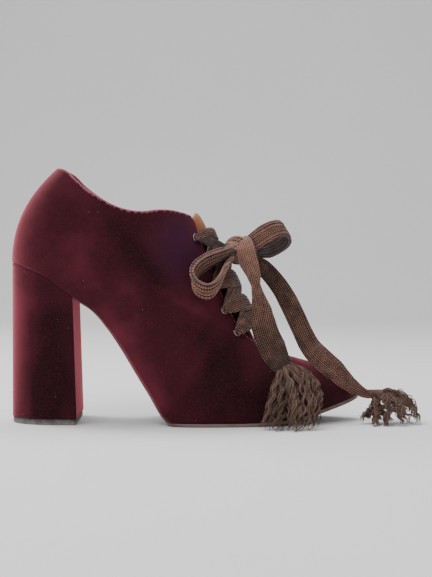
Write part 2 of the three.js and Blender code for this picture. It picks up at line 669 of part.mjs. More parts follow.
// The crossings of the lace over the tongue, all joined, with a plug through each eyelet
// and a strand from each top eyelet to the knot.
function laceCrossings() {
  const places = eyeletPlaces();
  const outer = places.slice(0, EYELETS_PER_SIDE);
  const inner = places.slice(EYELETS_PER_SIDE);
  const pairs = [[outer[EYELETS_PER_SIDE - 1], inner[EYELETS_PER_SIDE - 1], 1]];
  for (let i = 0; i + 1 < EYELETS_PER_SIDE; i++) {
    const fullness = i === 0 ? TOP_FULLNESS : 1;
    pairs.push([outer[i], inner[i + 1], fullness], [inner[i], outer[i + 1], fullness]);
  }
  const crossings = pairs.map(([from, to, fullness]) => {
    const rows = evenly(0, 1, 5).map((share) => {
      const station = THREE.MathUtils.lerp(from.station, to.station, share);
      const across = THREE.MathUtils.lerp(from.across, to.across, share);
      const swell = Math.sin(Math.PI * share);
      return {
        point: skinPoint(station, across, CROSSING_RISE + CROSSING_BULGE * fullness * swell),
        normal: faceNormal(station, across),
        width: CROSSING_WIDTH * fullness * (0.5 + 0.5 * swell),
      };
    });
    rows.forEach((row, i) => {
      const before = rows[Math.max(i - 1, 0)].point;
      const after = rows[Math.min(i + 1, rows.length - 1)].point;
      row.across = row.normal.clone().cross(after.clone().sub(before)).normalize();
    });
    return strip(rows, LACE_THICKNESS, CROSSING_SECTION);
  });
  const plugs = places.map((place) => {
    const length = CROSSING_RISE + WALL;
    const plug = new THREE.CylinderGeometry(EYELET_BORE - GAP, EYELET_BORE - GAP, length, 6);
    plug.translate(0, CROSSING_RISE - length / 2, 0);
    return solidOfGeometry(plug.applyMatrix4(frameOn(place)));
  });
  const strands = [outer[0], inner[0]].map((place) => {
    const from = skinPoint(place.station, place.across, CROSSING_RISE);
    const side = Math.sign(place.across);
    const outward = faceNormal(place.station, place.across);
    const rows = evenly(0, 1, 4).map((share) => ({
      point: from.clone().lerp(new THREE.Vector3(...STRANDS_END), share)
        .addScaledVector(outward, Math.sin(Math.PI * share)),
      across: new THREE.Vector3(0.2, -0.5 * side, 1),
      width: CROSSING_WIDTH * (0.3 + 0.35 * share),
    }));
    return strip(rows, LACE_THICKNESS, CROSSING_SECTION);
  });
  return wasm.Manifold.union([...crossings, ...plugs, ...strands]).subtract(laceKnot(GAP));
}

// The knot: a gathered core with one turn of the lace laid over it from behind to the front.
function laceKnot(extra = 0) {
  const core = new THREE.SphereGeometry(1, 10, 8);
  core.scale(KNOT_HALF[0] + extra, KNOT_HALF[1] + extra, KNOT_HALF[2] + extra);
  core.rotateY(KNOT_LEAN);
  core.translate(...KNOT);
  const turn = strip(routeRows(KNOT_TURN, 12).map((row) => ({
    ...row, width: row.width + 2 * extra,
  })), LACE_THICKNESS + 2 * extra);
  return solidOfGeometry(core).add(turn);
}

// A loop or a hanging end of the bow, cut clear of the knot.
function laceLength(route, steps) {
  return strip(routeRows(route, steps), LACE_THICKNESS).subtract(laceKnot(GAP));
}

// A tassel: a bound head past the lace's end, with locks fused on that reach the floor.
function tassel({ head, locks }) {
  const from = new THREE.Vector3(...head[0]);
  const to = new THREE.Vector3(...head[1]);
  const sections = (points, radii) => {
    const curve = new THREE.CatmullRomCurve3(points, false, "centripetal");
    return solidOfRings(evenly(0, 1, 4).map((share) => {
      const along = curve.getTangent(share);
      const across = new THREE.Vector3(0, 0, 1).cross(along).normalize();
      const other = along.clone().cross(across);
      const radius = radii[0] + (radii[1] - radii[0]) * share + radii[2] * Math.sin(Math.PI * share);
      return evenly(0, 4, 4).map((i) => {
        const angle = (i * Math.PI * 2) / 5;
        return curve.getPoint(share)
          .addScaledVector(across, radius * Math.cos(angle))
          .addScaledVector(other, radius * Math.sin(angle));
      });
    }));
  };
  const bound = sections([from, from.clone().lerp(to, 0.5), to], [3, 4.5, 0.5]);
  const strands = locks.map(([x1, y1, z1, x2, y2, z2, radius]) => sections(
    [
      from.clone().lerp(to, 0.6),
      new THREE.Vector3(x1, y1, z1),
      new THREE.Vector3(x2, y2, z2),
    ],
    [radius * 0.8, radius * 0.35, radius * 0.5],
  ));
  return wasm.Manifold.union([bound, ...strands]);
}

const velvet = { color: 0x3f1821, roughness: 0.9, metalness: 0 };
const FINISHES = {
  velvet,
  heel_velvet: velvet,
  tan_leather: { color: 0xa8632f, roughness: 0.6, metalness: 0 },
  insole_leather: { color: 0xb98a5e, roughness: 0.7, metalness: 0 },
  sole_leather: { color: 0xc9b49a, roughness: 0.6, metalness: 0 },
  lift_rubber: { color: 0x8f8c8c, roughness: 0.55, metalness: 0 },
  eyelet_metal: { color: 0xb9b7b4, roughness: 0.3, metalness: 1 },
  lace_knit: { color: 0x6b5148, roughness: 0.95, metalness: 0 },
};

// One named mesh of the boot.
function part(name, solid, finish) {
  const material = new THREE.MeshStandardMaterial({ name: finish, ...FINISHES[finish] });
  const mesh = new THREE.Mesh(geometryOfSolid(solid), material);
  mesh.name = name;
  return mesh;
}

const boot = new THREE.Group();
boot.name = "laced_block_heel_boot";
boot.add(
  part("upper", upper(), "velvet"),
  part("sole", sole(), "sole_leather"),
  part("insole", insole(), "insole_leather"),
  part("heel", heel(), "heel_velvet"),
  part("heel_lift", heelLift(), "lift_rubber"),
  part("tongue", tongue(), "tan_leather"),
  part("lace_crossings", laceCrossings(), "lace_knit"),
  part("lace_knot", laceKnot(), "lace_knit"),
  part("lace_loop_near", laceLength(NEAR_LOOP, 24), "lace_knit"),
  part("lace_loop_far", laceLength(FAR_LOOP, 20), "lace_knit"),
  part("lace_end_near", laceLength(NEAR_END, 20), "lace_knit"),
  part("lace_end_far", laceLength(FAR_END, 22), "lace_knit"),
  part("tassel_near", tassel(NEAR_TASSEL), "lace_knit"),
  part("tassel_far", tassel(FAR_TASSEL), "lace_knit"),
);
eyeletPlaces().forEach((place, i) => {
  const side = i < EYELETS_PER_SIDE ? "outer" : "inner";
  const ring = part(`eyelet_${side}_${(i % EYELETS_PER_SIDE) + 1}`, eyelet(), "eyelet_metal");
  frameOn(place).decompose(ring.position, ring.quaternion, ring.scale);
  boot.add(ring);
});

export default boot;
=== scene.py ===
"""Laced ankle boot in velvet on a high block heel: finishes, laces and light around the solid model."""

import math

import bmesh
import bpy
import numpy as np
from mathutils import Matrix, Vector


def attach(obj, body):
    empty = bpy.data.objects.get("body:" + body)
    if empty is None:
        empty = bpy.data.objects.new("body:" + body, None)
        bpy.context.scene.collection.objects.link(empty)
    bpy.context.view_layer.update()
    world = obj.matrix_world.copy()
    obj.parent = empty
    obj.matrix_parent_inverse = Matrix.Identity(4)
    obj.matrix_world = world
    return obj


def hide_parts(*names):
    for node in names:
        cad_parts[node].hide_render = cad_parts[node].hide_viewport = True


bl_info = {
    "name": "Velvet laced boot",
    "version": (1, 0, 0),
    "blender": (4, 5, 0),
    "location": "3D View > Sidebar > Boot",
    "description": "Builds the velvet, leather, laces and tassels of a laced ankle boot",
    "category": "Object",
}

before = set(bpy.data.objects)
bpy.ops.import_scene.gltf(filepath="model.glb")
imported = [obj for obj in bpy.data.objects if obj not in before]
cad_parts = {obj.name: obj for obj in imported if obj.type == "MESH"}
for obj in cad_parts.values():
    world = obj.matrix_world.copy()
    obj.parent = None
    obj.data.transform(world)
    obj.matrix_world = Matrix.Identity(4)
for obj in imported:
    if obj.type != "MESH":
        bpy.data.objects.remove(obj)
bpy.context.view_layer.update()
MM = 0.001

# Sizes in metres, the same as the solid model's.
LENGTH = 0.232
BALL_WIDTH = 0.079
SEAT_HEIGHT = 0.1065
TOE_SPRING = 0.015
INSTEP_DEPTH = 0.08
WALL = 0.0022
GAP = 0.0003
SOLE_THICKNESS = 0.0022
SOLE_RIM = 0.0006
WAIST_THICKNESS = 0.0009
WAIST_INSET = 0.0036
INSOLE_THICKNESS = 0.0014
HEEL_DEPTH = 0.045
HEEL_WIDTH = 0.055
LIFT_THICKNESS = 0.004
LIFT_INSET = 0.0005
LIFT_BEVEL = 0.0008
TONGUE_THICKNESS = 0.0024
TONGUE_SHARE = 0.34
TONGUE_RISE = 0.006
TONGUE_RIDGE = 0.15
EYELETS_PER_SIDE = 5
EYELET_BORE = 0.0017
EYELET_BARREL = 0.0021
EYELET_FLANGE = 0.003
EYELET_METAL = 0.0005
EYELET_SET = 0.0007
EYELET_PROUD = 0.00055
EYELET_MARGIN = 0.005
EYELET_FIRST = 0.007
EYELET_LAST = 0.031
LACE_WIDTH = 0.013
LACE_THICKNESS = 0.002
CROSSING_RISE = 0.0028
CROSSING_BULGE = 0.004
TOP_FULLNESS = 0.6

# Cross-sections from the back of the heel to the tip of the toe, as in the solid model:
# shares of LENGTH, the seat's height, TOE_SPRING, INSTEP_DEPTH and BALL_WIDTH.
COLUMNS = [
    "x", "rise", "spring", "forward", "up", "foot", "full", "shift", "ridge", "round", "bow", "bed",
]
SECTIONS = np.array([
    [0, 1, 0, 0.55, 0.931, 0, 0, 0, 0, 2.3, 0.135, 0.05],
    [0.015, 0.997, 0, 0.545, 0.96, 0.342, 0.392, 0, 0, 2.3, 0.142, 0.05],
    [0.056, 0.966, 0, 0.525, 1.05, 0.595, 0.684, 0, 0, 2.3, 0.13, 0.05],
    [0.112, 0.907, 0, 0.5, 1.165, 0.69, 0.785, 0, 0, 2.2, 0.105, 0.05],
    [0.181, 0.793, 0, 0.475, 1.312, 0.696, 0.8, -0.003, 0, 2.2, 0.062, 0.05],
    [0.241, 0.702, 0, 0.5, 1.394, 0.645, 0.797, -0.012, 0, 2.2, 0.031, 0.05],
    [0.285, 0.586, 0, 0.55, 1.431, 0.6, 0.797, -0.021, 0, 2.1, 0.012, 0.055],
    [0.323, 0.461, 0, 0.575, 1.269, 0.595, 0.81, -0.032, 0, 2, 0, 0.06],
    [0.362, 0.317, 0, 0.587, 1.081, 0.633, 0.835, -0.038, 0.004, 1.8, 0, 0.075],
    [0.401, 0.178, 0, 0.6, 0.975, 0.709, 0.88, -0.038, 0.006, 1.75, 0, 0.12],
    [0.442, 0.034, 0, 0.606, 0.894, 0.823, 0.93, -0.032, 0.01, 1.75, 0, 0.2],
    [0.483, 0, 0, 0.619, 0.731, 0.906, 0.967, -0.023, 0.014, 1.8, 0, 0.19],
    [0.56, 0, 0, 0.525, 0.6, 0.97, 1, -0.012, 0.02, 2, 0, 0.16],
    [0.647, 0, 0, 0.4, 0.531, 0.96, 0.982, -0.004, 0.025, 2.05, 0, 0.15],
    [0.737, 0, 0.03, 0.262, 0.487, 0.885, 0.9, 0.004, 0.03, 2.1, 0, 0.15],
    [0.823, 0, 0.17, 0.144, 0.421, 0.745, 0.757, 0.013, 0.035, 2.2, 0, 0.14],
    [0.897, 0, 0.51, 0.069, 0.294, 0.577, 0.587, 0.023, 0.04, 2.2, 0, 0.11],
    [0.955, 0, 0.77, 0.031, 0.154, 0.385, 0.392, 0.035, 0.045, 2.2, 0, 0.07],
    [0.987, 0, 0.93, 0.012, 0.064, 0.2, 0.205, 0.046, 0.048, 2.2, 0, 0.03],
    [1, 0, 1, 0, 0.025, 0, 0, 0.05, 0.05, 2.2, 0, 0.012],
])
LAST_STATION = len(SECTIONS) - 1
FULLEST = 0.3
LOW_SHARE = 0.2
ROLL = 3
BOW_SKEW = 0.85
BASE = SOLE_THICKNESS + GAP
CENTRING = 0.0025
BACKSET = 0.00065
SEAT_END = 4.05
WAIST_END = 10.4
TOE_FILL = 17.7
TONGUE_ENDS = (7.38, 12.6)
TONGUE_FLAT = (10.4, 11.3)
HEEL_ROUND = 2.5
TOP_LINE = np.array([
    [0, 0.8], [1.2, 0.765], [2.3, 0.705], [3.1, 0.635], [4, 0.59], [5, 0.58],
    [6.2, 0.7], [6.9, 0.85], [7.25, 0.925],
])
FACING_EDGE = np.array([
    [7.45, 0.945], [7.7, 0.94], [8.2, 0.935], [9, 0.92], [9.7, 0.92], [10.7, 0.925],
    [11.2, 0.935], [11.6, 0.965], [11.9, 1],
])
THROAT_END = FACING_EDGE[-1, 0]

# The bow's routes in millimetres, as in the solid model: x, y, z, then the way the lace's
# width lies, then its width as a share of LACE_WIDTH.
KNOT = np.array([35, -1, 115])
KNOT_HALF = np.array([10, 7.5, 9.5])
KNOT_LEAN = 0.5
STRANDS_END = np.array([29.5, 0, 113.5])
KNOT_TURN = [
    [34, 5, 118.5, 0.85, 0, 0.5, 0.75],
    [36, 0, 121.3, 0.85, 0, 0.5, 0.8],
    [37.8, -5.5, 120.3, 0.85, 0, 0.5, 0.9],
    [39.3, -9.8, 116.5, 0.87, 0, 0.48, 1],
    [40.3, -11.3, 111.5, 0.9, 0, 0.45, 1.05],
]
NEAR_LOOP = [
    [31.5, -7.5, 113, 0.3, -0.8, 0.5, 0.65],
    [27.5, -14.5, 113, 0.2, -0.75, 0.6, 0.9],
    [22.5, -20.5, 111.2, 0.1, -0.7, 0.7, 1],
    [17.2, -25, 109.2, 0, -0.67, 0.74, 1],
    [12, -28, 106.6, -0.1, -0.67, 0.74, 1],
    [7.8, -30.8, 102.8, -0.15, -0.67, 0.72, 1],
    [5.6, -33, 98, -0.15, -0.67, 0.72, 1],
    [6.6, -34.5, 92.8, -0.1, -0.67, 0.74, 1],
    [10.2, -35.3, 89.2, -0.05, -0.67, 0.74, 1],
    [14.8, -35.3, 88.2, 0, -0.67, 0.74, 1],
    [18.8, -33.5, 90.2, 0.1, -0.67, 0.74, 1],
    [21.8, -30, 94.4, 0.2, -0.67, 0.7, 1],
    [24.2, -25, 99.2, 0.3, -0.68, 0.66, 1],
    [27.2, -17.5, 104.8, 0.3, -0.72, 0.6, 0.8],
    [30, -10.5, 109, 0.2, -0.8, 0.55, 0.6],
]
FAR_LOOP = [
    [41, -2, 117.5, -0.5, 0.3, 0.81, 0.8],
    [47, -6.5, 121.6, -0.5, 0.3, 0.81, 0.95],
    [53, -8.5, 125.7, -0.5, 0.3, 0.81, 1],
    [59.5, -7.2, 128.9, -0.5, 0.3, 0.81, 1],
    [65, -3, 129.4, -0.5, 0.3, 0.81, 1],
    [67.6, 2.2, 127, -0.5, 0.3, 0.81, 1],
    [66.4, 7.5, 122.8, -0.5, 0.3, 0.81, 1],
    [61.6, 11, 118.8, -0.5, 0.3, 0.81, 1],
    [55.4, 11.8, 115.6, -0.5, 0.3, 0.81, 1],
    [49.3, 10.2, 114.6, -0.5, 0.3, 0.81, 0.8],
    [42, 6, 114.5, -0.5, 0.3, 0.81, 0.6],
]
NEAR_END = [
    [39.5, -11.5, 114.5, 0.9, -0.1, 0.4, 0.95],
    [42, -14, 106.5, 0.9, -0.25, 0.4, 1],
    [44.6, -14.8, 99.7, 0.85, -0.4, 0.35, 0.8],
    [46.6, -15, 91.8, 0.8, -0.5, 0.25, 0.5],
    [48.4, -15, 83.5, 0.85, -0.5, 0.1, 0.8],
    [50, -15.5, 75, 0.93, -0.3, 0.1, 1.1],
    [51.3, -17.5, 66.7, 0.97, -0.15, 0.15, 1.25],
    [53.6, -20.5, 58.3, 0.95, -0.15, 0.3, 1.35],
    [57, -24, 50.5, 0.9, -0.2, 0.4, 1.4],
    [60.6, -28, 43.8, 0.8, -0.3, 0.5, 1.25],
    [64.3, -32.5, 38.5, 0.75, -0.3, 0.5, 1],
]
FAR_END = [
    [42, 0, 108.5, 0.5, 0, 0.85, 0.7],
    [51.5, 3, 103.5, 0.6, 0, 0.8, 0.85],
    [58.5, 6, 96.5, 0.7, 0, 0.6, 0.9],
    [64.5, 6, 88.5, 0.8, 0, 0.55, 0.95],
    [69.3, 4, 80, 0.87, 0, 0.5, 1],
    [73.8, 2, 70.5, 0.9, 0, 0.42, 1],
    [78.5, -1, 60, 0.88, 0.05, 0.47, 1],
    [83.4, -5, 50.3, 0.8, 0.05, 0.6, 1.05],
    [90.3, -12.5, 42.6, 0.62, 0.1, 0.78, 1.15],
    [98, -16, 36, 0.6, 0.1, 0.78, 1.1],
    [106.6, -16.5, 27.8, 0.6, 0.1, 0.78, 0.85],
    [114.6, -14, 22, 0.5, 0.1, 0.85, 0.6],
    [120.5, -12, 19, 0.2, 0.2, 0.95, 0.45],
    [125.2, -11.3, 18.8, 0.1, 0.3, 0.95, 0.45],
]


def column(name, station):
    """A cubic curve through one column of the table, level where the column turns.

    Past an end the column is its own mirror image, which closes the heel and the toe round."""
    values = SECTIONS[:, COLUMNS.index(name)]
    sign = -1 if name in ("foot", "full") else 1
    rows = np.concatenate([sign * values[3:0:-1], values, sign * values[-2:-5:-1]])
    step = np.diff(rows)
    slope = np.where(step[:-1] * step[1:] <= 0, 0, (step[:-1] + step[1:]) / 2)
    row = np.floor(station).astype(int)
    t = station - row
    k = row + 3
    return (
        rows[k] * (1 + 2 * t) * (1 - t) ** 2
        + rows[k + 1] * t * t * (3 - 2 * t)
        + slope[k - 1] * t * (1 - t) ** 2
        - slope[k] * t * t * (1 - t)
    )


def section_at(station):
    """All the columns at the stations, in metres."""
    share = {name: column(name, station) for name in COLUMNS}
    x = (share["x"] - 0.5) * LENGTH - BACKSET
    z = BASE + share["rise"] * (SEAT_HEIGHT - BASE) + share["spring"] * TOE_SPRING
    bottom = np.stack([x, z], -1)
    lean = np.stack([share["forward"], share["up"]], -1) * INSTEP_DEPTH
    return {
        "bottom": bottom,
        "lean": lean,
        "foot": share["foot"] * BALL_WIDTH / 2,
        "full": share["full"] * BALL_WIDTH / 2,
        "shift": (share["shift"] + CENTRING) * BALL_WIDTH,
        "ridge": (share["ridge"] + CENTRING) * BALL_WIDTH,
        "round": share["round"],
        "bow": share["bow"] * INSTEP_DEPTH,
        "bed": share["bed"] * INSTEP_DEPTH,
    }


def spine(section, up):
    """The bottom line's point plus a share of the section's lean, bowed back by a sine."""
    lean = section["lean"]
    back = np.stack([-lean[..., 1], lean[..., 0]], -1)
    back /= np.linalg.norm(back, axis=-1, keepdims=True)
    bowed = section["bow"] * np.sin(np.pi * np.maximum(up, 0) ** BOW_SKEW)
    return section["bottom"] + lean * up[..., None] + back * bowed[..., None]


def face_point(station, across):
    """A superellipse on a rolled-in foot: across is -1 and 1 at the feather edges, 0 at the ridge."""
    station, across = np.broadcast_arrays(station, across)
    section = section_at(station)
    climb = 1 - np.abs(across)
    low = climb < LOW_SHARE
    rolled = 1 - (1 - np.clip(climb / LOW_SHARE, 0, 1)) ** ROLL
    foot_half = section["foot"] + (section["full"] - section["foot"]) * rolled
    angle = np.clip((climb - LOW_SHARE) / (1 - LOW_SHARE), 0, 1) * np.pi / 2
    power = 2 / section["round"]
    up = np.where(
        low, FULLEST * climb / LOW_SHARE, FULLEST + (1 - FULLEST) * np.sin(angle) ** power
    )
    half = np.where(low, foot_half, section["full"] * np.maximum(np.cos(angle), 0) ** power)
    middle = spine(section, up)
    side = section["shift"] * (1 - up) + section["ridge"] * up + np.sign(across) * half
    return np.stack([middle[..., 0], side, middle[..., 1]], -1)


def across_at(station, up):
    """The inverse of face_point's height: across at a share of the height, on the inner side."""
    reach = np.clip((up - FULLEST) / (1 - FULLEST), 0, 1)
    angle = np.arcsin(reach ** (column("round", station) / 2))
    high = 1 - LOW_SHARE - (1 - LOW_SHARE) * angle / (np.pi / 2)
    return np.where(up < FULLEST, 1 - LOW_SHARE * up / FULLEST, high)


def unit(vectors):
    return vectors / np.maximum(np.linalg.norm(vectors, axis=-1, keepdims=True), 1e-12)


def travelled_along(points):
    """The distance walked from the first point to each point."""
    return np.concatenate([[0], np.cumsum(np.linalg.norm(np.diff(points, axis=0), axis=1))])


def columns_at(x, known, values):
    """Each column of values read in straight lines between the known places."""
    return np.stack([np.interp(x, known, values[:, k]) for k in range(values.shape[1])], -1)


def squared_circle(angle, power_across, power_up):
    """A circle's two coordinates, each raised to its power with its sign kept."""
    cosine = np.cos(angle)
    sine = np.sin(angle)
    across = np.sign(cosine) * np.abs(cosine) ** power_across
    up = np.sign(sine) * np.abs(sine) ** power_up
    return across, up


def face_normal(station, across):
    """The cross product of the face's two tangents, by differences."""
    station, across = np.broadcast_arrays(station, across)
    step = 0.01
    along = face_point(station + step, across) - face_point(station - step, across)
    left = face_point(station, np.maximum(across - step, -1))
    right = face_point(station, np.minimum(across + step, 1))
    return unit(np.cross(along, right - left))


def skin_point(station, across, out):
    """The face moved along its normal."""
    out = np.asarray(out)
    return face_point(station, across) + face_normal(station, across) * out[..., None]


def down_at(station):
    """Square to the bottom line, pointing down."""
    inside = np.clip(station, 0.3, LAST_STATION - 0.3)
    line = section_at(inside + 0.05)["bottom"] - section_at(inside - 0.05)["bottom"]
    line = unit(line)
    return np.stack([line[..., 1], np.zeros_like(line[..., 0]), -line[..., 0]], -1)


def smooth_through(points, x):
    """A cubic through points whose slopes are the means of their neighbours' slopes."""
    slope = np.gradient(points[:, 1], points[:, 0])
    k = np.clip(np.searchsorted(points[:, 0], x, side="right") - 1, 0, len(points) - 2)
    width = points[k + 1, 0] - points[k, 0]
    t = np.clip((x - points[k, 0]) / width, 0, 1)
    return (
        points[k, 1] * (1 + 2 * t) * (1 - t) ** 2
        + points[k + 1, 1] * t * t * (3 - 2 * t)
        + width * (slope[k] * t * (1 - t) ** 2 - slope[k + 1] * t * t * (1 - t))
    )


def edge_share(station):
    """Share of the height at which the upper ends: the top line, then the facing's edge."""
    station = np.asarray(station, float)
    corner = TOP_LINE[-1]
    facing = FACING_EDGE[0]
    turn = (station - corner[0]) / (facing[0] - corner[0])
    between = corner[1] + (facing[1] - corner[1]) * turn
    share = np.where(
        station < corner[0], smooth_through(TOP_LINE, station),
        np.where(station < facing[0], between, smooth_through(FACING_EDGE, station)),
    )
    return np.where(station >= THROAT_END, 1.0, np.minimum(share, 1.0))


def edge_across(station):
    """Where the upper's side ends, as across on the inner side, 0 once the sides join."""
    return across_at(station, edge_share(station))


# Lines on the velvet in the side view: points x and z, height and half width, in millimetres.
# The first is the raised line over the instep, the rest are soft troughs and folds.
CREASES = [
    ([(-26, 96), (-18, 89), (2, 78), (18, 69), (32, 60)], 0.6, 3),
    ([(-24, 89), (-12, 81), (6, 71), (22, 62)], -0.5, 4.5),
    ([(-46, 139), (-34, 122), (-26, 106), (-16, 93)], -0.8, 8),
    ([(-36, 139), (-24, 121), (-12, 104)], 0.4, 5),
    ([(-62, 116), (-48, 102), (-34, 92)], -0.3, 6),
]
# Painted light and shade on the velvet, in the same form with more or less tone instead of height: painted
# light on the heel's counter, on a band below the top line and along the arch, a painted highlight on the
# raised line, painted shade in the trough, along the top by the facing, under the near loop and on the
# lower forefoot, and a painted shadow of the lace over the toe.
PAINTED_LIGHT_AND_SHADE = [
    ([(-108, 152), (-117, 122), (-114, 96)], 0.2, 20),
    ([(-85, 128), (-50, 104)], 0.1, 18),
    ([(-62, 86), (-40, 53), (-22, 22), (-12, 6)], 0.28, 9),
    ([(-26, 96), (-18, 89), (2, 78), (18, 69), (32, 60)], 0.1, 3),
    ([(74, 26), (92, 20), (112, 12)], -0.4, 16),
    ([(-54, 141), (-32, 114), (-12, 86)], -0.3, 10),
    ([(-40, 136), (-12, 131)], -0.15, 7),
    ([(5, 42), (40, 20), (80, 14)], -0.4, 28),
    ([(6, 64), (32, 44)], -0.2, 10),
]
# On the heel: painted light down its back edge, painted shade over its middle and along its bottom.
HEEL_PAINTED_LIGHT_AND_SHADE = [
    ([(-117, 96), (-117, 8)], 0.5, 13),
    ([(-86, 84), (-86, 8)], -0.35, 17),
    ([(-104, 10), (-80, 10)], -0.45, 26),
]


def line_bells(points, lines):
    """The sum of bell curves of the distance to each line, faded out at its ends."""
    flat = points[..., [0, 2]] / MM
    total = np.zeros(flat.shape[:-1])
    for line, amount, half_width in lines:
        line = np.array(line, float)
        nearest = np.full(total.shape, np.inf)
        place = np.zeros(total.shape)
        for i in range(len(line) - 1):
            span = line[i + 1] - line[i]
            t = np.clip(((flat - line[i]) @ span) / (span @ span), 0, 1)
            distance = np.linalg.norm(flat - line[i] - t[..., None] * span, axis=-1)
            closer = distance < nearest
            place = np.where(closer, (i + t) / (len(line) - 1), place)
            nearest = np.where(closer, distance, nearest)
        fade = np.clip(np.sin(np.pi * np.clip(place, 0.03, 0.97)) * 2.2, 0, 1)
        total += amount * fade * np.exp(-((nearest / half_width) ** 2))
    return total


def paint_light_and_shade(piece, lines):
    """Stores the painted light and shade at each vertex as a tone, 0.5 where no line passes."""
    count = len(piece.data.vertices)
    places = np.empty(count * 3, np.float32)
    piece.data.vertices.foreach_get("co", places)
    tone = 0.5 + line_bells(places.reshape(-1, 3), lines)
    mark(piece, "painted_light_shade", np.clip(tone, 0, 1))


def mark(piece, name, values):
    """Stores one number for each vertex, which a material reads by its name."""
    attribute = piece.data.attributes.new(name, "FLOAT", "POINT")
    attribute.data.foreach_set("value", np.asarray(values, np.float32).ravel())


# Meshes.

def new_object(name, vertices, faces, material, smooth=True, uv=None):
    """A mesh object from arrays, with an optional UV for each vertex."""
    mesh = bpy.data.meshes.new(name)
    faces = np.asarray(faces)
    mesh.vertices.add(len(vertices))
    mesh.vertices.foreach_set("co", np.asarray(vertices, np.float32).ravel())
    mesh.loops.add(faces.size)
    mesh.loops.foreach_set("vertex_index", faces.astype(np.int32).ravel())
    mesh.polygons.add(len(faces))
    mesh.polygons.foreach_set("loop_start", np.arange(0, faces.size, faces.shape[1], dtype=np.int32))
    mesh.polygons.foreach_set("loop_total", np.full(len(faces), faces.shape[1], np.int32))
    mesh.polygons.foreach_set("use_smooth", np.full(len(faces), smooth))
    if uv is not None:
        layer = mesh.uv_layers.new(name="UVMap")
        layer.data.foreach_set("uv", np.asarray(uv, np.float32)[faces.ravel()].ravel())
    mesh.update()
    mesh.validate()
    piece = bpy.data.objects.new(name, mesh)
    bpy.context.scene.collection.objects.link(piece)
    piece.data.materials.append(material)
    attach(piece, "root")
    return piece


def grid_faces(rows, columns, closed=False, offset=0):
    """Quads of a grid of points numbered row by row, with the columns closed to a tube or not."""
    i, j = np.meshgrid(np.arange(rows - 1), np.arange(columns if closed else columns - 1), indexing="ij")
    k = (j + 1) % columns
    quads = np.stack([i * columns + j, i * columns + k, (i + 1) * columns + k, (i + 1) * columns + j], -1)
    return quads.reshape(-1, 4) + offset


def join(parts):
    """Vertices, faces and UVs of several grids in one set of arrays."""
    count = 0
    vertices, faces, uvs = [], [], []
    for points, quads, uv in parts:
        vertices.append(points)
        faces.append(quads + count)
        uvs.append(uv if uv is not None else np.zeros((len(points), 2)))
        count += len(points)
    return np.concatenate(vertices), np.concatenate(faces), np.concatenate(uvs)


def weld(piece, distance=2e-6):
    """Merges doubles and drops what they leave without area, then turns the faces out."""
    work = bmesh.new()
    work.from_mesh(piece.data)
    bmesh.ops.remove_doubles(work, verts=work.verts, dist=distance)
    bmesh.ops.dissolve_degenerate(work, edges=work.edges, dist=distance)
    bmesh.ops.recalc_face_normals(work, faces=work.faces)
    work.to_mesh(piece.data)
    work.free()
    return piece


# Finishes.

class Shader:
    """A material's node tree, with short ways to add nodes."""

    def __init__(self, name, **uniform):
        self.material = bpy.data.materials.new(name)
        self.material.use_nodes = True
        self.tree = self.material.node_tree
        self.surface = self.tree.nodes["Principled BSDF"]
        for socket, value in uniform.items():
            self.surface.inputs[socket.replace("_", " ")].default_value = value

    def node(self, kind, inputs=(), **settings):
        """Adds a node. inputs maps a socket's name or number to a value or another socket."""
        made = self.tree.nodes.new(kind)
        for key, value in settings.items():
            setattr(made, key, value)
        for key, value in dict(inputs).items():
            if isinstance(value, bpy.types.NodeSocket):
                self.tree.links.new(value, made.inputs[key])
            else:
                made.inputs[key].default_value = value
        return made

    def object_place(self):
        return self.node("ShaderNodeTexCoord").outputs["Object"]

    def uv(self):
        return self.node("ShaderNodeTexCoord").outputs["UV"]

    def noise(self, place, scale, detail=2.0, roughness=0.5):
        made = self.node(
            "ShaderNodeTexNoise",
            {"Vector": place, "Scale": scale, "Detail": detail, "Roughness": roughness},
        )
        return made.outputs["Fac"]

    def attribute(self, name):
        return self.node("ShaderNodeAttribute", attribute_name=name).outputs["Fac"]

    def map_range(self, value, low, high, first, last):
        """Low to high laid over first to last, and held at both ends."""
        inputs = {0: value, 1: low, 2: high, 3: first, 4: last}
        return self.node("ShaderNodeMapRange", inputs).outputs[0]

    def swing(self, value, middle, amount):
        """The value's distance from a middle, times an amount."""
        return self.math("MULTIPLY", self.math("SUBTRACT", value, middle), amount)

    def half_wave(self, value):
        """A sine's upper half over each whole step of the value."""
        return self.math("SINE", self.math("MULTIPLY", self.math("FRACT", value), math.pi))

    def math(self, operation, first, second=0.0):
        made = self.node("ShaderNodeMath", {0: first, 1: second}, operation=operation)
        return made.outputs[0]

    def ramp(self, factor, stops):
        """Colours or greys over 0 to 1. stops are (place, (r, g, b))."""
        made = self.node("ShaderNodeValToRGB", {0: factor})
        band = made.color_ramp
        for element, (place, colour) in zip(band.elements, (stops[0], stops[-1])):
            element.position = place
            element.color = (*colour, 1)
        for place, colour in stops[1:-1]:
            band.elements.new(place).color = (*colour, 1)
        return made.outputs["Color"]

    def mix(self, factor, first, second):
        made = self.node("ShaderNodeMix", {0: factor, 6: first, 7: second}, data_type="RGBA")
        return made.outputs[2]

    def bump(self, height, distance, strength=1.0, normal=None):
        inputs = {"Height": height, "Distance": distance, "Strength": strength}
        if normal is not None:
            inputs["Normal"] = normal
        return self.node("ShaderNodeBump", inputs).outputs["Normal"]

    def connect(self, socket, value):
        self.tree.links.new(value, self.surface.inputs[socket])


def rgb(colour):
    return tuple(colour)[:3]


def scaled(colour, factor):
    """A lighter or darker colour, held at 1."""
    return tuple(min(v * factor, 1) for v in colour)


# The painted violet reflection on the velvet: its middle, and how far it is full and fades out.
VIOLET_REFLECTION_MIDDLE = (0.003, -0.02, 0.118)
VIOLET_REFLECTION_FULL = 0.008
VIOLET_REFLECTION_END = 0.034
LINT_COLOUR = (0.3, 0.14, 0.16)


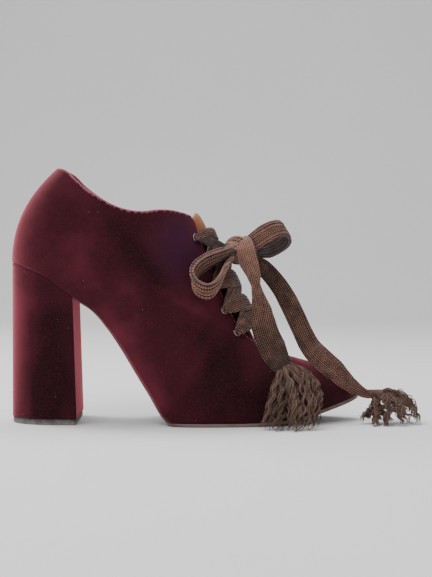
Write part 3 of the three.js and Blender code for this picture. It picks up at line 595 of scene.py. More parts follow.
def velvet_finish(name, finishes, heel=False):
    """Deep pile: painted light and shade, a painted highlight on the rim, a painted violet reflection
    unless heel is set, crushed patches, lint and a fine nap.
    """
    lit = rgb(finishes.velvet_colour)
    dark = rgb(finishes.shade_colour)
    shader = Shader(
        name, Roughness=0.9, Sheen_Weight=1.0, Sheen_Roughness=0.42,
        Sheen_Tint=(*rgb(finishes.sheen_colour), 1), Specular_IOR_Level=0.1,
    )
    place = shader.object_place()
    patches = shader.noise(place, 42, 3, 0.6)
    # The tone is the painted light and shade of the listed lines plus crushed patches; the ramp turns it
    # into shaded and lit copies of the velvet's colour.
    tone = shader.math("ADD", shader.attribute("painted_light_shade"), shader.swing(patches, 0.5, 0.7))
    middle = tuple((a + b) / 2 for a, b in zip(lit, dark))
    colour = shader.ramp(tone, [(0.1, dark), (0.5, middle), (0.95, scaled(lit, 1.7))])
    pile = shader.noise(place, 1500, 2, 0.7)
    colour = shader.mix(shader.swing(pile, 0.42, 1.2), colour, (*scaled(lit, 1.8), 1))
    if not heel:
        # A painted violet reflection at the top of the facing.
        apart = shader.node(
            "ShaderNodeVectorMath", {0: place, 1: VIOLET_REFLECTION_MIDDLE}, operation="DISTANCE"
        ).outputs["Value"]
        near = shader.map_range(apart, VIOLET_REFLECTION_FULL, VIOLET_REFLECTION_END, 0.8, 0.0)
        colour = shader.mix(near, colour, (*rgb(finishes.violet_reflection_colour), 1))
    specks = shader.node("ShaderNodeTexVoronoi", {"Vector": place, "Scale": 260.0}).outputs["Distance"]
    lint = shader.math("LESS_THAN", specks, 0.1)
    rare = shader.math("GREATER_THAN", shader.noise(place, 90, 1), 0.64)
    dust = shader.math("MULTIPLY", shader.math("MULTIPLY", lint, rare), 0.35)
    colour = shader.mix(dust, colour, (*LINT_COLOUR, 1))
    # The rim round the top line gets a painted highlight.
    edge = shader.math("MULTIPLY", shader.attribute("edge"), 0.85)
    colour = shader.mix(edge, colour, (*rgb(finishes.rim_highlight_colour), 1))
    shader.connect("Base Color", colour)
    coarse = shader.bump(patches, 0.0006, 0.4)
    shader.connect("Normal", shader.bump(pile, 0.0002, 0.5, coarse))
    return shader.material


def leather_finish(name, colour, roughness=0.5, grain=900, relief=0.00005):
    """Smooth leather: fine pebbled grain, faint colour drift, and gloss that follows the grain."""
    shader = Shader(name, Specular_IOR_Level=0.4)
    place = shader.object_place()
    drift = shader.noise(place, 60, 3)
    stops = [(0.35, scaled(colour, 0.68)), (0.65, scaled(colour, 1.18))]
    shader.connect("Base Color", shader.ramp(drift, stops))
    cells = shader.node("ShaderNodeTexVoronoi", {"Vector": place, "Scale": grain}).outputs["Distance"]
    rough = shader.map_range(cells, 0.0, 0.7, roughness - 0.1, roughness + 0.15)
    shader.connect("Roughness", rough)
    shader.connect("Normal", shader.bump(cells, relief, 0.6))
    return shader.material


def rubber_finish(name, colour):
    """Lift rubber: a fine even grain with scuffs that are lighter and rougher."""
    shader = Shader(name, Specular_IOR_Level=0.3)
    place = shader.object_place()
    grain = shader.noise(place, 1400, 2)
    scuff = shader.noise(place, 170, 4, 0.7)
    height = shader.node("ShaderNodeSeparateXYZ", {0: place}).outputs[2]
    # The lift is lighter towards its bottom.
    low = shader.map_range(height, 0.0, 0.003, 0.35, -0.05)
    tone = shader.math("ADD", scuff, low)
    stops = [(0.4, scaled(colour, 0.4)), (0.6, colour), (0.95, scaled(colour, 2.2))]
    shader.connect("Base Color", shader.ramp(tone, stops))
    shader.connect("Roughness", shader.map_range(scuff, 0.3, 0.7, 0.5, 0.75))
    shader.connect("Normal", shader.bump(grain, 0.00008, 0.5))
    return shader.material


def metal_finish(name):
    """Plated brass: bright, with faint wear that dulls it."""
    shader = Shader(name, Metallic=1.0)
    place = shader.object_place()
    wear = shader.noise(place, 700, 3)
    stops = [(0.4, (0.2, 0.16, 0.17)), (0.65, (0.34, 0.29, 0.3))]
    shader.connect("Base Color", shader.ramp(wear, stops))
    shader.connect("Roughness", shader.map_range(wear, 0.3, 0.7, 0.18, 0.4))
    return shader.material


# Flat knit: a stitch is two slanted legs, WALE across and COURSE along, raised by STITCH_RELIEF.
# A strip's middle lies at UV_MIDDLE across.
UV_MIDDLE = 0.02
WALE = 0.0025
COURSE = 0.0017
STITCH_SLANT = 1.1
STITCH_RELIEF = 0.00038


def stitch_height(across, along):
    """Two legs to a wale, each a sine across, cut by slanted sines along into stitches."""
    place = np.mod(across / WALE, 1)
    leg = np.sin(np.pi * np.mod(2 * place, 1)) ** 0.6
    slanted = along / COURSE + np.abs(place - 0.5) * 2 * STITCH_SLANT
    return leg * np.sin(np.pi * np.mod(slanted, 1)) ** 0.7


def knit_finish(name, colour):
    """The stitches of stitch_height on the lace's UV, with drifting tone, painted shade in the gaps,
    painted highlights on the stitches and fuzz.
    """
    shader = Shader(name, Roughness=0.9, Sheen_Weight=0.25, Sheen_Roughness=0.5, Specular_IOR_Level=0.15)
    split = shader.node("ShaderNodeSeparateXYZ", {0: shader.uv()})
    across = shader.math("FRACT", shader.math("DIVIDE", split.outputs[0], WALE))
    along = shader.math("DIVIDE", split.outputs[1], COURSE)
    leg = shader.math("POWER", shader.half_wave(shader.math("MULTIPLY", across, 2.0)), 0.6)
    middle = shader.math("ABSOLUTE", shader.math("SUBTRACT", across, 0.5))
    slanted = shader.math("ADD", along, shader.math("MULTIPLY", middle, 2 * STITCH_SLANT))
    height = shader.math("MULTIPLY", leg, shader.math("POWER", shader.half_wave(slanted), 0.7))
    place = shader.object_place()
    drift = shader.swing(shader.noise(place, 190, 3, 0.7), 0.5, 0.8)
    fuzz = shader.noise(place, 3200, 2)
    # The stitch height paints shade into the gaps and highlights onto the stitch tops, and the tone
    # attribute adds painted light and shade.
    tone = shader.math("ADD", shader.math("ADD", height, drift), shader.attribute("painted_light_and_random_tone"))
    stops = [(0.2, scaled(colour, 0.08)), (0.6, colour), (1.1, scaled(colour, 4.2))]
    knit = shader.ramp(tone, stops)
    plain_stops = [(0.2, (0.02, 0.015, 0.018)), (0.9, (0.12, 0.09, 0.095))]
    plain = shader.ramp(shader.math("ADD", fuzz, drift), plain_stops)
    back = shader.math("MULTIPLY", shader.attribute("back"), 0.8)
    shader.connect("Base Color", shader.mix(back, knit, plain))
    stitches = shader.bump(height, 0.0003, 0.6)
    shader.connect("Normal", shader.bump(fuzz, 0.0001, 0.5, stitches))
    return shader.material


PLY_PITCH = 0.0009


def yarn_finish(name, colour):
    """Unravelled yarn on its UV: plies that wind along it, with painted shade in the creases between them.
    """
    shader = Shader(name, Roughness=0.95, Sheen_Weight=0.2, Sheen_Roughness=0.5, Specular_IOR_Level=0.1)
    split = shader.node("ShaderNodeSeparateXYZ", {0: shader.uv()})
    around = shader.math("MULTIPLY", split.outputs[0], 2.0)
    along = shader.math("DIVIDE", split.outputs[1], PLY_PITCH)
    ply = shader.half_wave(shader.math("ADD", around, along))
    drift = shader.math("MULTIPLY", shader.noise(shader.object_place(), 230, 2), 0.8)
    # The ply paints shade into the creases between plies.
    mixed = shader.math("ADD", shader.math("MULTIPLY", ply, 0.45), drift)
    # The attribute adds a random tone to each yarn.
    tone = shader.math("ADD", mixed, shader.attribute("painted_light_and_random_tone"))
    stops = [(0.25, scaled(colour, 0.4)), (0.6, colour), (1.0, scaled(colour, 2.2))]
    shader.connect("Base Color", shader.ramp(tone, stops))
    shader.connect("Normal", shader.bump(ply, 0.00015, 0.6))
    return shader.material


# Strips and yarn.

def curve_through(points, count):
    """Points evenly along a centripetal Catmull-Rom curve through the given points.

    Returns them, their places among the given points and the curve's length."""
    points = np.asarray(points, float)
    padded = np.concatenate([[2 * points[0] - points[1]], points, [2 * points[-1] - points[-2]]])
    knots = np.concatenate([[0], np.cumsum(np.linalg.norm(np.diff(padded, axis=0), axis=1) ** 0.5)])
    pieces = []
    for i in range(1, len(padded) - 2):
        t0, t1, t2, t3 = knots[i - 1:i + 3]
        p0, p1, p2, p3 = padded[i - 1:i + 3]
        t = np.linspace(t1, t2, 24, endpoint=False)[:, None]
        a1 = (t1 - t) / (t1 - t0) * p0 + (t - t0) / (t1 - t0) * p1
        a2 = (t2 - t) / (t2 - t1) * p1 + (t - t1) / (t2 - t1) * p2
        a3 = (t3 - t) / (t3 - t2) * p2 + (t - t2) / (t3 - t2) * p3
        b1 = (t2 - t) / (t2 - t0) * a1 + (t - t0) / (t2 - t0) * a2
        b2 = (t3 - t) / (t3 - t1) * a2 + (t - t1) / (t3 - t1) * a3
        pieces.append((t2 - t) / (t2 - t1) * b1 + (t - t1) / (t2 - t1) * b2)
    fine = np.concatenate([*pieces, points[-1:]])
    travelled = travelled_along(fine)
    wanted = np.linspace(0, travelled[-1], count)
    place = np.interp(wanted, travelled, np.linspace(0, len(points) - 1, len(fine)))
    return columns_at(wanted, travelled, fine), place, travelled[-1]


STRIP_AROUND = 84


def strip_grid(points, side, width, thickness, pucker=0.0, seed=0, toward=(0, 1, 0), ribs=0.0):
    """A flat tube along points: an ellipse squared off, width by thickness, with raised stitches.

    Its edges pucker by sines along it and ribs fold it lengthwise by a cosine across. UVs are
    metres, UV_MIDDLE across at the middle and the length along. Returns the grid, and for each
    vertex 1 on the smooth back face, which is the one that looks toward."""
    tangent = unit(np.gradient(points, axis=0))
    side = unit(side - tangent * np.sum(side * tangent, -1, keepdims=True))
    face = np.cross(tangent, side)
    fine = np.linspace(0, 2 * np.pi, 1441)
    outline = np.stack(squared_circle(fine, 0.5, 0.7), -1)
    steps = np.diff(outline, axis=0)
    walked = np.concatenate([[0], np.cumsum(np.hypot(steps[:, 0], steps[:, 1] * thickness / width.max()))])
    wanted = np.arange(STRIP_AROUND) / STRIP_AROUND * walked[-1]
    u, v = columns_at(wanted, walked, outline).T
    length = travelled_along(points)
    phase = np.random.default_rng(seed).uniform(0, 2 * np.pi, 6)
    wave = np.sin(length / 0.0043 + phase[0]) + 0.6 * np.sin(length / 0.0026 + phase[1])
    other = np.sin(length / 0.0051 + phase[2]) + 0.6 * np.sin(length / 0.0031 + phase[3])
    lift = pucker * (np.outer(wave, np.clip(u, 0, 1) ** 2) + np.outer(other, np.clip(-u, 0, 1) ** 2))
    lift = lift + ribs * np.cos(6 * np.pi * u)
    half = width[:, None] / 2
    across = half * u
    bulk = thickness / 2 - STITCH_RELIEF / 2
    uv = np.stack([across + UV_MIDDLE, np.broadcast_to(length[:, None], across.shape)], -1)
    raised = bulk + STITCH_RELIEF * stitch_height(uv[..., 0], uv[..., 1])
    ring = (
        points[:, None]
        + side[:, None] * (across * (1 + 0.06 * (raised / bulk - 1)))[..., None]
        + face[:, None] * (v * raised + lift)[..., None]
    )
    count = len(points)
    faces = [grid_faces(count, STRIP_AROUND, closed=True)]
    j = np.arange(STRIP_AROUND // 2 - 1)
    cap = np.stack([j, j + 1, STRIP_AROUND - 2 - j, STRIP_AROUND - 1 - j], -1)
    faces += [cap[:, ::-1], cap + (count - 1) * STRIP_AROUND]
    sign = np.sign(np.sum(face * np.asarray(toward, float)))
    back = np.broadcast_to(np.clip(0.5 + 2 * sign * v, 0, 1), (count, STRIP_AROUND))
    return (ring.reshape(-1, 3), np.concatenate(faces), uv.reshape(-1, 2)), back


LACE_STEP = 0.00036
LACE_PUCKER = 0.00035


def route_grid(route, pucker=0.0, seed=0, thickness=LACE_THICKNESS, closed=False, ribs=0.0):
    """A lace along a route's rows: its grid, its back, its centre line and its length in metres.

    The back face looks into a loop, and away from the outer side anywhere else."""
    rows = np.array(route, float)
    length = curve_through(rows[:, :3] * MM, 40)[2]
    points, place, length = curve_through(rows[:, :3] * MM, int(length / LACE_STEP))
    numbers = np.arange(len(rows))
    side = columns_at(place, numbers, unit(rows[:, 3:6]))
    width = np.interp(place, numbers, rows[:, 6]) * LACE_WIDTH
    toward = points.mean(0) - points if closed else (0, 1, 0)
    grid, back = strip_grid(points, side, width, thickness, pucker, seed, toward, ribs)
    return grid, back, points, length


# Pieces. Each function makes one piece from the sizes and finishes in the panel.

# The corner of the top line and the facing, where the facing's edge starts to close to the
# throat, and the number of points on the edge's half circle.
CORNER = 7.25
CLOSING = 11.2
RIM_POINTS = 8


def upper_rim(edged):
    """A half circle of radius WALL / 2 carried round the edge from the outer to the inner side."""
    stations = np.concatenate([edged[::-1], edged[1:]])
    side = np.concatenate([np.full(len(edged), -1), np.full(len(edged) - 1, 1)])
    across = edge_across(stations) * side
    outer = skin_point(stations, across, np.zeros(len(stations)))
    inner = skin_point(stations, across, np.full(len(stations), -WALL))
    middle = (outer + inner) / 2
    tangent = unit(np.gradient(middle, axis=0))
    upward = unit(np.cross(outer - inner, tangent))
    toward = face_point(stations, side * (np.abs(across) + 0.02)) - outer
    upward *= -np.sign(np.sum(upward * toward, -1, keepdims=True))
    turn = np.linspace(0, np.pi, RIM_POINTS)
    rim = (
        middle[:, None]
        + np.cos(turn)[:, None] * ((outer - inner) / 2)[:, None]
        + np.sin(turn)[:, None] * (upward * WALL / 2)[:, None]
    )
    return rim.reshape(-1, 3), grid_faces(len(stations), RIM_POINTS), None


def upper_piece(finish, lining):
    """The outer face and the lining are skin_point on grids of station and share of the climb.

    The rim joins them at the top, and a strip joins them along each feather edge."""
    before = np.linspace(0, CORNER, 150)
    facing = np.linspace(CORNER, CLOSING, 90)[1:]
    throat = THROAT_END - (THROAT_END - CLOSING) * (1 - np.linspace(0, 1, 26)[1:]) ** 2
    vamp = THROAT_END + (LAST_STATION - THROAT_END) * np.linspace(0, 1, 150)[1:]
    edged = np.concatenate([before, facing, throat])
    stations = np.concatenate([edged, vamp])
    stations[-1] = LAST_STATION
    parts = []
    kinds = []
    bottoms = {}
    for out, rows in ((0, 64), (-WALL, 26)):
        for side in (-1, 1):
            s, r = np.meshgrid(stations, np.linspace(0, 1, rows), indexing="ij")
            across = side * (1 - r * (1 - edge_across(s)))
            points = skin_point(s, across, np.full(s.shape, out))
            if out == 0:
                normal = face_normal(s, across)
                relief = line_bells(points, CREASES) * MM * np.clip(4 * (1 - r), 0, 1)
                points = points + normal * relief[..., None]
            bottoms[out, side] = points[:, 0]
            parts.append((points.reshape(-1, 3), grid_faces(len(stations), rows), None))
            kinds.append(int(out != 0))
    for side in (-1, 1):
        strip = np.stack([bottoms[0, side], bottoms[-WALL, side]], 1)
        parts.append((strip.reshape(-1, 3), grid_faces(len(stations), 2), None))
        kinds.append(1)
    walls = sum(len(part[0]) for part in parts)
    parts.append(upper_rim(edged))
    kinds.append(0)
    vertices, faces, uv = join(parts)
    piece = new_object("velvet_upper", vertices, faces, finish)
    # The rim's vertices are marked for the velvet's painted highlight.
    mark(piece, "edge", np.arange(len(vertices)) >= walls)
    piece.data.materials.append(lining)
    kind = np.concatenate([np.full(len(part[1]), value) for part, value in zip(parts, kinds)])
    piece.data.polygons.foreach_set("material_index", kind.astype(np.int32))
    weld(piece)
    paint_light_and_shade(piece, PAINTED_LIGHT_AND_SHADE)
    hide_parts("upper")


def edge_point(station, side, out, drop):
    """The feather edge moved out, square to it and level with the sole, and dropped below it."""
    station = np.asarray(station, float)
    down = down_at(station)
    sides = np.broadcast_to(np.asarray(side, float), station.shape)
    step = 0.02
    along = face_point(station + step, sides) - face_point(station - step, sides)
    outward = unit(np.cross(along, down)) * sides[..., None]
    out = np.broadcast_to(np.asarray(out, float), station.shape)
    drop = np.broadcast_to(np.asarray(drop, float), station.shape)
    return face_point(station, sides) + outward * out[..., None] + down * drop[..., None]


HEEL_POINTS = 160
BEVEL_TURN = np.linspace(0, np.pi / 2, 5)


def heel_outline(turn, inset, height):
    """A superellipse from the outer breast corner round the back to the inner one."""
    back = -LENGTH / 2 - BACKSET + inset
    breast = back + HEEL_DEPTH - 2 * inset
    half = HEEL_WIDTH / 2 - inset
    power = 2 / HEEL_ROUND
    angle = turn * np.pi / 2
    x = breast - (breast - back) * np.maximum(np.cos(angle), 0) ** power
    y = np.sign(angle) * half * np.abs(np.sin(angle)) ** power + CENTRING * BALL_WIDTH
    return np.stack([x, y, np.full(x.shape, height)], -1)


def capped_rings(rings):
    """Triangles of a surface from rings of points, each end closed by a fan to its middle.

    The rings' quads come first, cut in two: all their first halves, then all the second."""
    count, around = rings.shape[:2]
    vertices = [rings.reshape(-1, 3), rings[:1].mean(1), rings[-1:].mean(1)]
    sides = grid_faces(count, around, closed=True)
    j = np.arange(around)
    k = (j + 1) % around
    first = np.stack([np.full(around, count * around), k, j], -1)
    end = (count - 1) * around
    last = np.stack([np.full(around, count * around + 1), j + end, k + end], -1)
    triangles = np.concatenate([sides[:, [0, 1, 2]], sides[:, [0, 2, 3]], first, last])
    return np.concatenate(vertices), triangles


def ring_piece(name, rings, finish):
    """One closed piece from rings."""
    vertices, triangles = capped_rings(rings)
    return weld(new_object(name, vertices, triangles, finish))


def heel_piece(finish):
    """Points run straight from the seat's feather edge to the outline above the lift."""
    turn = np.linspace(-1, 1, HEEL_POINTS)
    side = np.where(turn < 0, -1.0, 1.0)
    top = edge_point(SEAT_END * np.abs(turn), side, 0, GAP)
    bottom = heel_outline(turn, 0, LIFT_THICKNESS + GAP)
    breast = np.linspace(0, 1, 26)[1:-1, None]
    top = np.concatenate([top, top[-1] + (top[0] - top[-1]) * breast])
    bottom = np.concatenate([bottom, bottom[-1] + (bottom[0] - bottom[-1]) * breast])
    share = np.linspace(0, 1, 60)[:, None, None]
    rings = top + (bottom - top) * share
    piece = ring_piece("velvet_heel", rings, finish)
    paint_light_and_shade(piece, HEEL_PAINTED_LIGHT_AND_SHADE)
    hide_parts("heel")


def lift_piece(finish):
    """The heel's outline, its lower rim rounded by a quarter circle and its upper one cut."""
    turn = np.linspace(-1, 1, HEEL_POINTS)
    rows = [
        (LIFT_INSET + LIFT_BEVEL * (1 - np.sin(t)), LIFT_BEVEL * (1 - np.cos(t))) for t in BEVEL_TURN
    ]
    rows += [(LIFT_INSET, LIFT_THICKNESS - 0.0004), (LIFT_INSET + 0.0003, LIFT_THICKNESS)]
    rings = []
    for inset, height in rows:
        round_back = heel_outline(turn, inset, height)
        breast = np.linspace(round_back[-1], round_back[0], 14)[1:-1]
        rings.append(np.concatenate([round_back, breast]))
    piece = ring_piece("heel_lift_rubber", np.stack(rings), finish)
    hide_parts("heel_lift")


def share_above(section, down, height):
    """Share of a section's height at a distance above the bottom line, square to it."""
    lean = section["lean"]
    return height / -(lean[..., 0] * down[..., 0] + lean[..., 1] * down[..., 2])


def bed_rings(stations, out, low, high, rows=9):
    """Rings across the inside of the boot between two heights, clear of the wall by out."""
    section = section_at(stations)
    down = down_at(stations)
    low_share = share_above(section, down, low(stations, section))
    high_share = share_above(section, down, high(stations, section))
    t = np.linspace(0, 1, rows)
    up = low_share[:, None] + (high_share - low_share)[:, None] * t
    s = np.broadcast_to(stations[:, None], up.shape)
    across = across_at(s, np.maximum(up, 0.0))
    depth = np.full(s.shape, -out)
    right = skin_point(s, across, depth)
    left = skin_point(s, -across, depth)
    middle = section["shift"][:, None]
    # The inside narrows to nothing at the back of the heel, where the two walls would cross.
    right[..., 1] = np.maximum(right[..., 1], middle + 1e-5)
    left[..., 1] = np.minimum(left[..., 1], middle - 1e-5)
    sides = np.linspace(left[:, -1], right[:, -1], 12, axis=1)[:, 1:-1]
    floor = np.linspace(right[:, 0], left[:, 0], 12, axis=1)[:, 1:-1]
    return np.concatenate([left, sides, right[:, ::-1], floor], 1)


def sole_piece(finish):
    """A plate carried along both feather edges, and the platform on it inside the upper."""
    toe = 16
    tip = toe + (LAST_STATION - toe) * np.linspace(0, 1, 60)[1:] ** 0.8
    s = np.concatenate([np.linspace(SEAT_END + 0.06, toe, 200), tip])
    t = np.clip((s - (WAIST_END - 0.9)) / 1.8, 0, 1)
    spread = t * t * (3 - 2 * t)
    out = -WAIST_INSET + (SOLE_RIM + WAIST_INSET) * spread
    drop = WAIST_THICKNESS + GAP + (BASE - WAIST_THICKNESS - GAP) * spread
    bevel = WAIST_THICKNESS / 3
    rows = {}
    for side in (-1, 1):
        rows[side] = [
            edge_point(s, side, out - bevel * (1 - np.sin(t)), drop - bevel * (1 - np.cos(t)))
            for t in BEVEL_TURN
        ]
        rows[side].append(edge_point(s, side, out, GAP + (drop - GAP) * 0.4))
        rows[side].append(edge_point(s, side, out, np.full(s.shape, GAP)))
    left = np.stack(rows[-1], 1)
    right = np.stack(rows[1][::-1], 1)
    over = np.linspace(left[:, -1], right[:, 0], 14, axis=1)[:, 1:-1]
    under = np.linspace(right[:, -1], left[:, 0], 14, axis=1)[:, 1:-1]
    rings = np.concatenate([left, over, right, under], 1)
    plate = ring_piece("leather_sole", rings, finish)
    stations = np.linspace(0.25, TOE_FILL - 0.12, 150)
    rings = bed_rings(
        stations, WALL + GAP,
        lambda s, section: np.where(s > SEAT_END + 0.1, -GAP - WAIST_THICKNESS / 2, 0.0002),
        lambda s, section: section["bed"],
    )
    platform = ring_piece("platform", rings, finish)
    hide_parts("sole")
    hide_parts("sole")


def insole_piece(finish):
    """A thin plate on the platform's bed."""
    stations = np.linspace(0.35, TOE_FILL - 0.7, 150)
    rings = bed_rings(
        stations, WALL + 2 * GAP,
        lambda s, section: section["bed"] + GAP,
        lambda s, section: section["bed"] + GAP + INSOLE_THICKNESS,
        rows=4,
    )
    piece = ring_piece("leather_insole", rings, finish)
    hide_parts("insole")


def tongue_piece(finish, facing):
    """A tube under the face, whose section is an ellipse squared off.

    Between the facings its middle rises by (1 - share ** 2) ** 2 of share, the place across
    it. Its outer face is velvet below a leather top."""
    depth = WALL + EYELET_SET + EYELET_METAL + GAP
    share = np.linspace(0, 1, 110)
    station = TONGUE_ENDS[0] + (TONGUE_ENDS[1] - TONGUE_ENDS[0]) * share
    half = TONGUE_SHARE * np.minimum(1, 0.35 + 4 * share) * (1 - 0.2 * share ** 4)
    half = half * np.sqrt(np.clip(share * 60 + 0.15, 0, 1))
    angle = np.linspace(0, 2 * np.pi, 96, endpoint=False)
    u, v = squared_circle(angle, 0.6, 0.5)
    s = np.broadcast_to(station[:, None], (len(station), len(angle)))
    across = half[:, None] * u
    left = (TONGUE_FLAT[1] - station) / (TONGUE_FLAT[1] - TONGUE_FLAT[0])
    roll = np.maximum(1 - 2 * (station - TONGUE_ENDS[0]), 0)
    rise = (TONGUE_RISE * np.clip(left, 0, 1) * (1 - 0.45 * roll ** 2))[:, None]
    middle = np.minimum(np.abs(across) / TONGUE_RIDGE, 1)
    thick = TONGUE_THICKNESS / 2 * np.clip(np.minimum(share, 1 - share) * 40 + 0.4, 0, 1)
    out = rise * (1 - middle ** 2) ** 2 - depth - TONGUE_THICKNESS / 2 + thick[:, None] * v
    vertices, triangles = capped_rings(skin_point(s, across, out))
    piece = new_object("leather_tongue", vertices, triangles, finish)
    piece.data.materials.append(facing)
    velvet = (v[:, None] > 0.2).T & (share[:-1, None] > 0.1)
    kind = np.concatenate([velvet.ravel(), velvet.ravel(), np.zeros(2 * len(angle))])
    piece.data.polygons.foreach_set("material_index", kind.astype(np.int32))
    weld(piece)
    # An even darker tone on the tongue's velvet: painted shade of the throat under the laces.
    mark(piece, "painted_light_shade", np.full(len(piece.data.vertices), 0.3))
    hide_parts("tongue")


def eyelet_places():
    """Stations and across of the outer side's eyelets from the top down, evenly along the edge."""
    walk = np.linspace(FACING_EDGE[0, 0], THROAT_END, 801)
    share = np.interp(walk, FACING_EDGE[:, 0], FACING_EDGE[:, 1])
    edge_side = across_at(walk, share)
    edge = face_point(walk, edge_side)
    travelled = travelled_along(edge)
    wanted = np.linspace(EYELET_FIRST, travelled[-1] - EYELET_LAST, EYELETS_PER_SIDE)
    station = np.interp(wanted, travelled, walk)
    start = np.interp(station, walk, edge_side)
    tries = start[:, None] + np.arange(0, 0.5, 0.002)
    reach = face_point(np.broadcast_to(station[:, None], tries.shape), tries)
    far = np.linalg.norm(reach - face_point(station, start)[:, None], axis=-1) >= EYELET_MARGIN
    return station, tries[np.arange(len(station)), far.argmax(1)]


def eyelets_piece(finish):
    """One rolled profile turned about the face's normal at ten places."""
    inside = -(WALL + EYELET_SET)
    roll = np.linspace(0, np.pi, 9)
    ring_middle = (EYELET_BORE + EYELET_FLANGE) / 2
    ring_half = (EYELET_FLANGE - EYELET_BORE) / 2
    reach = ring_half * np.cos(roll)
    swell = EYELET_METAL * np.sin(roll)
    profile = np.concatenate([
        np.stack([ring_middle + reach, EYELET_PROUD + swell], -1),
        np.stack([ring_middle - reach, inside - swell], -1),
        [(EYELET_BARREL, inside), (EYELET_BARREL, EYELET_PROUD)],
    ])
    station, across = eyelet_places()
    s = np.concatenate([station, station])
    a = np.concatenate([-across, across])
    normal = face_normal(s, a)
    first = unit(np.cross(normal, [0.0, 0.0, 1.0]))
    second = np.cross(normal, first)
    around = np.arange(28) / 28 * 2 * np.pi
    circle = first[:, None] * np.cos(around)[:, None] + second[:, None] * np.sin(around)[:, None]
    points = (
        face_point(s, a)[:, None, None]
        + circle[:, :, None] * profile[:, 0][:, None]
        + normal[:, None, None] * profile[:, 1][:, None]
    )
    rows = len(around)
    width = len(profile)
    quads = grid_faces(rows + 1, width, closed=True) % (rows * width)
    faces = (quads + np.arange(len(s))[:, None, None] * rows * width).reshape(-1, 4)
    piece = new_object("metal_eyelets", points.reshape(-1, 3), faces, finish)
    weld(piece)
    names = [f"eyelet_{side}_{i + 1}" for side in ("outer", "inner") for i in range(EYELETS_PER_SIDE)]
    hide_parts(*names)


# Depths of the lace's first three points as it comes out of an eyelet.
THROUGH = (-WALL - 0.0025, -0.0005, 0.0022)
CROSSING_SHARES = np.array([0, 0, 0, 0.1, 0.25, 0.5, 0.75, 0.9, 1, 1, 1])
CROSSING_WIDTHS = np.array([3, 3, 6, 9.5, 12.5, 13, 12.5, 9.5, 6, 3, 3]) * MM
STRAND_SHARES = (0.3, 0.65, 1.0)
STRAND_WIDTHS = np.array([2.6, 2.6, 4.2, 6.5, 8, 8]) * MM
STRAND_BUMP = 0.001


def crossings_piece(finish):
    """Each crossing leaves one bore, passes over or under its partner, and enters the other."""
    station, across = eyelet_places()
    last = EYELETS_PER_SIDE - 1
    pairs = [(last, -1, last, 1, 0.0)]
    for i in range(last):
        pairs += [(i, -1, i + 1, 1, 0.0011), (i, 1, i + 1, -1, -0.0004)]
    grids = []
    backs = []
    for number, (i, side_i, j, side_j, above) in enumerate(pairs):
        share = CROSSING_SHARES
        depth = np.array([*THROUGH, 0, 0, 0, 0, 0, *THROUGH[::-1]])
        s = station[i] + (station[j] - station[i]) * share
        a = side_i * across[i] + (side_j * across[j] - side_i * across[i]) * share
        swell = np.sin(np.pi * share)
        fullness = TOP_FULLNESS if i == 0 else 1.0
        over = CROSSING_RISE + (CROSSING_BULGE * fullness + above) * swell
        out = np.where(depth == 0, over, depth)
        points = skin_point(s, a, out)
        normal = face_normal(s, a)
        fine, place, _ = curve_through(points, 90)
        numbers = np.arange(len(share))
        normals = unit(columns_at(place, numbers, normal))
        travel = unit(points[-3] - points[2])
        side = np.cross(normals, travel)
        width = np.interp(place, numbers, CROSSING_WIDTHS) * fullness
        grid, back = strip_grid(
            fine, side, width, LACE_THICKNESS, LACE_PUCKER, 40 + number, -normals, 0.0002
        )
        grids.append(grid)
        backs.append(back.ravel())
    for side_i in (-1, 1):
        s = station[0]
        a = side_i * across[0]
        start = [skin_point(s, a, np.array(depth)) for depth in THROUGH]
        end = STRANDS_END * MM
        outward = face_normal(s, a)
        between = [
            start[2] + (end - start[2]) * t + outward * STRAND_BUMP * math.sin(math.pi * t)
            for t in STRAND_SHARES
        ]
        points = np.array(start + between)
        fine, place, _ = curve_through(points, 50)
        side = np.broadcast_to(unit(np.array([0.2, -0.5 * side_i, 1.0])), fine.shape)
        width = np.interp(place, np.arange(len(points)), STRAND_WIDTHS)
        grid, back = strip_grid(fine, side, width, LACE_THICKNESS, 0.0002, 60 + side_i, (0, -1, 0))
        grids.append(grid)
        backs.append(back.ravel())
    vertices, faces, uv = join(grids)
    piece = new_object("knit_crossings", vertices, faces, finish, uv=uv)
    mark(piece, "back", np.concatenate(backs))
    mark(piece, "painted_light_and_random_tone", np.zeros(len(vertices)))
    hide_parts("lace_crossings")


def knot_piece(finish):
    """An ellipsoid leant over, gathered in pleats that run along the lace, with one turn over it."""
    rows = np.linspace(0, np.pi, 70)
    circle = np.linspace(0, 2 * np.pi, 120, endpoint=False)
    polar, round_ = np.meshgrid(rows, circle, indexing="ij")
    ball = np.stack([
        np.cos(polar), np.sin(polar) * np.cos(round_), np.sin(polar) * np.sin(round_),
    ], -1)
    pleat = np.sin(7 * round_ + 1.2 * np.sin(2 * polar)) * np.sin(polar)
    size = 1 + 0.08 * pleat - 0.03
    points = ball * size[..., None] * KNOT_HALF
    c = math.cos(KNOT_LEAN)
    s = math.sin(KNOT_LEAN)
    points = points @ np.array([[c, 0, s], [0, 1, 0], [-s, 0, c]]).T + KNOT
    uv = np.stack([round_ * 0.0045, polar * 0.008], -1)
    faces = grid_faces(len(rows), len(circle), closed=True)
    core = (points.reshape(-1, 3) * MM, faces, uv.reshape(-1, 2))
    turn, back, _, _ = route_grid(KNOT_TURN, 0.0003, 7, LACE_THICKNESS * 1.1)
    vertices, faces, uv = join([core, turn])
    piece = new_object("knit_knot", vertices, faces, finish, uv=uv)
    mark(piece, "back", np.concatenate([np.zeros(len(core[0])), back.ravel()]))
    # The knot's knit is painted lighter, as painted light.
    mark(piece, "painted_light_and_random_tone", np.full(len(vertices), 0.3))
    weld(piece)
    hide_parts("lace_knot")


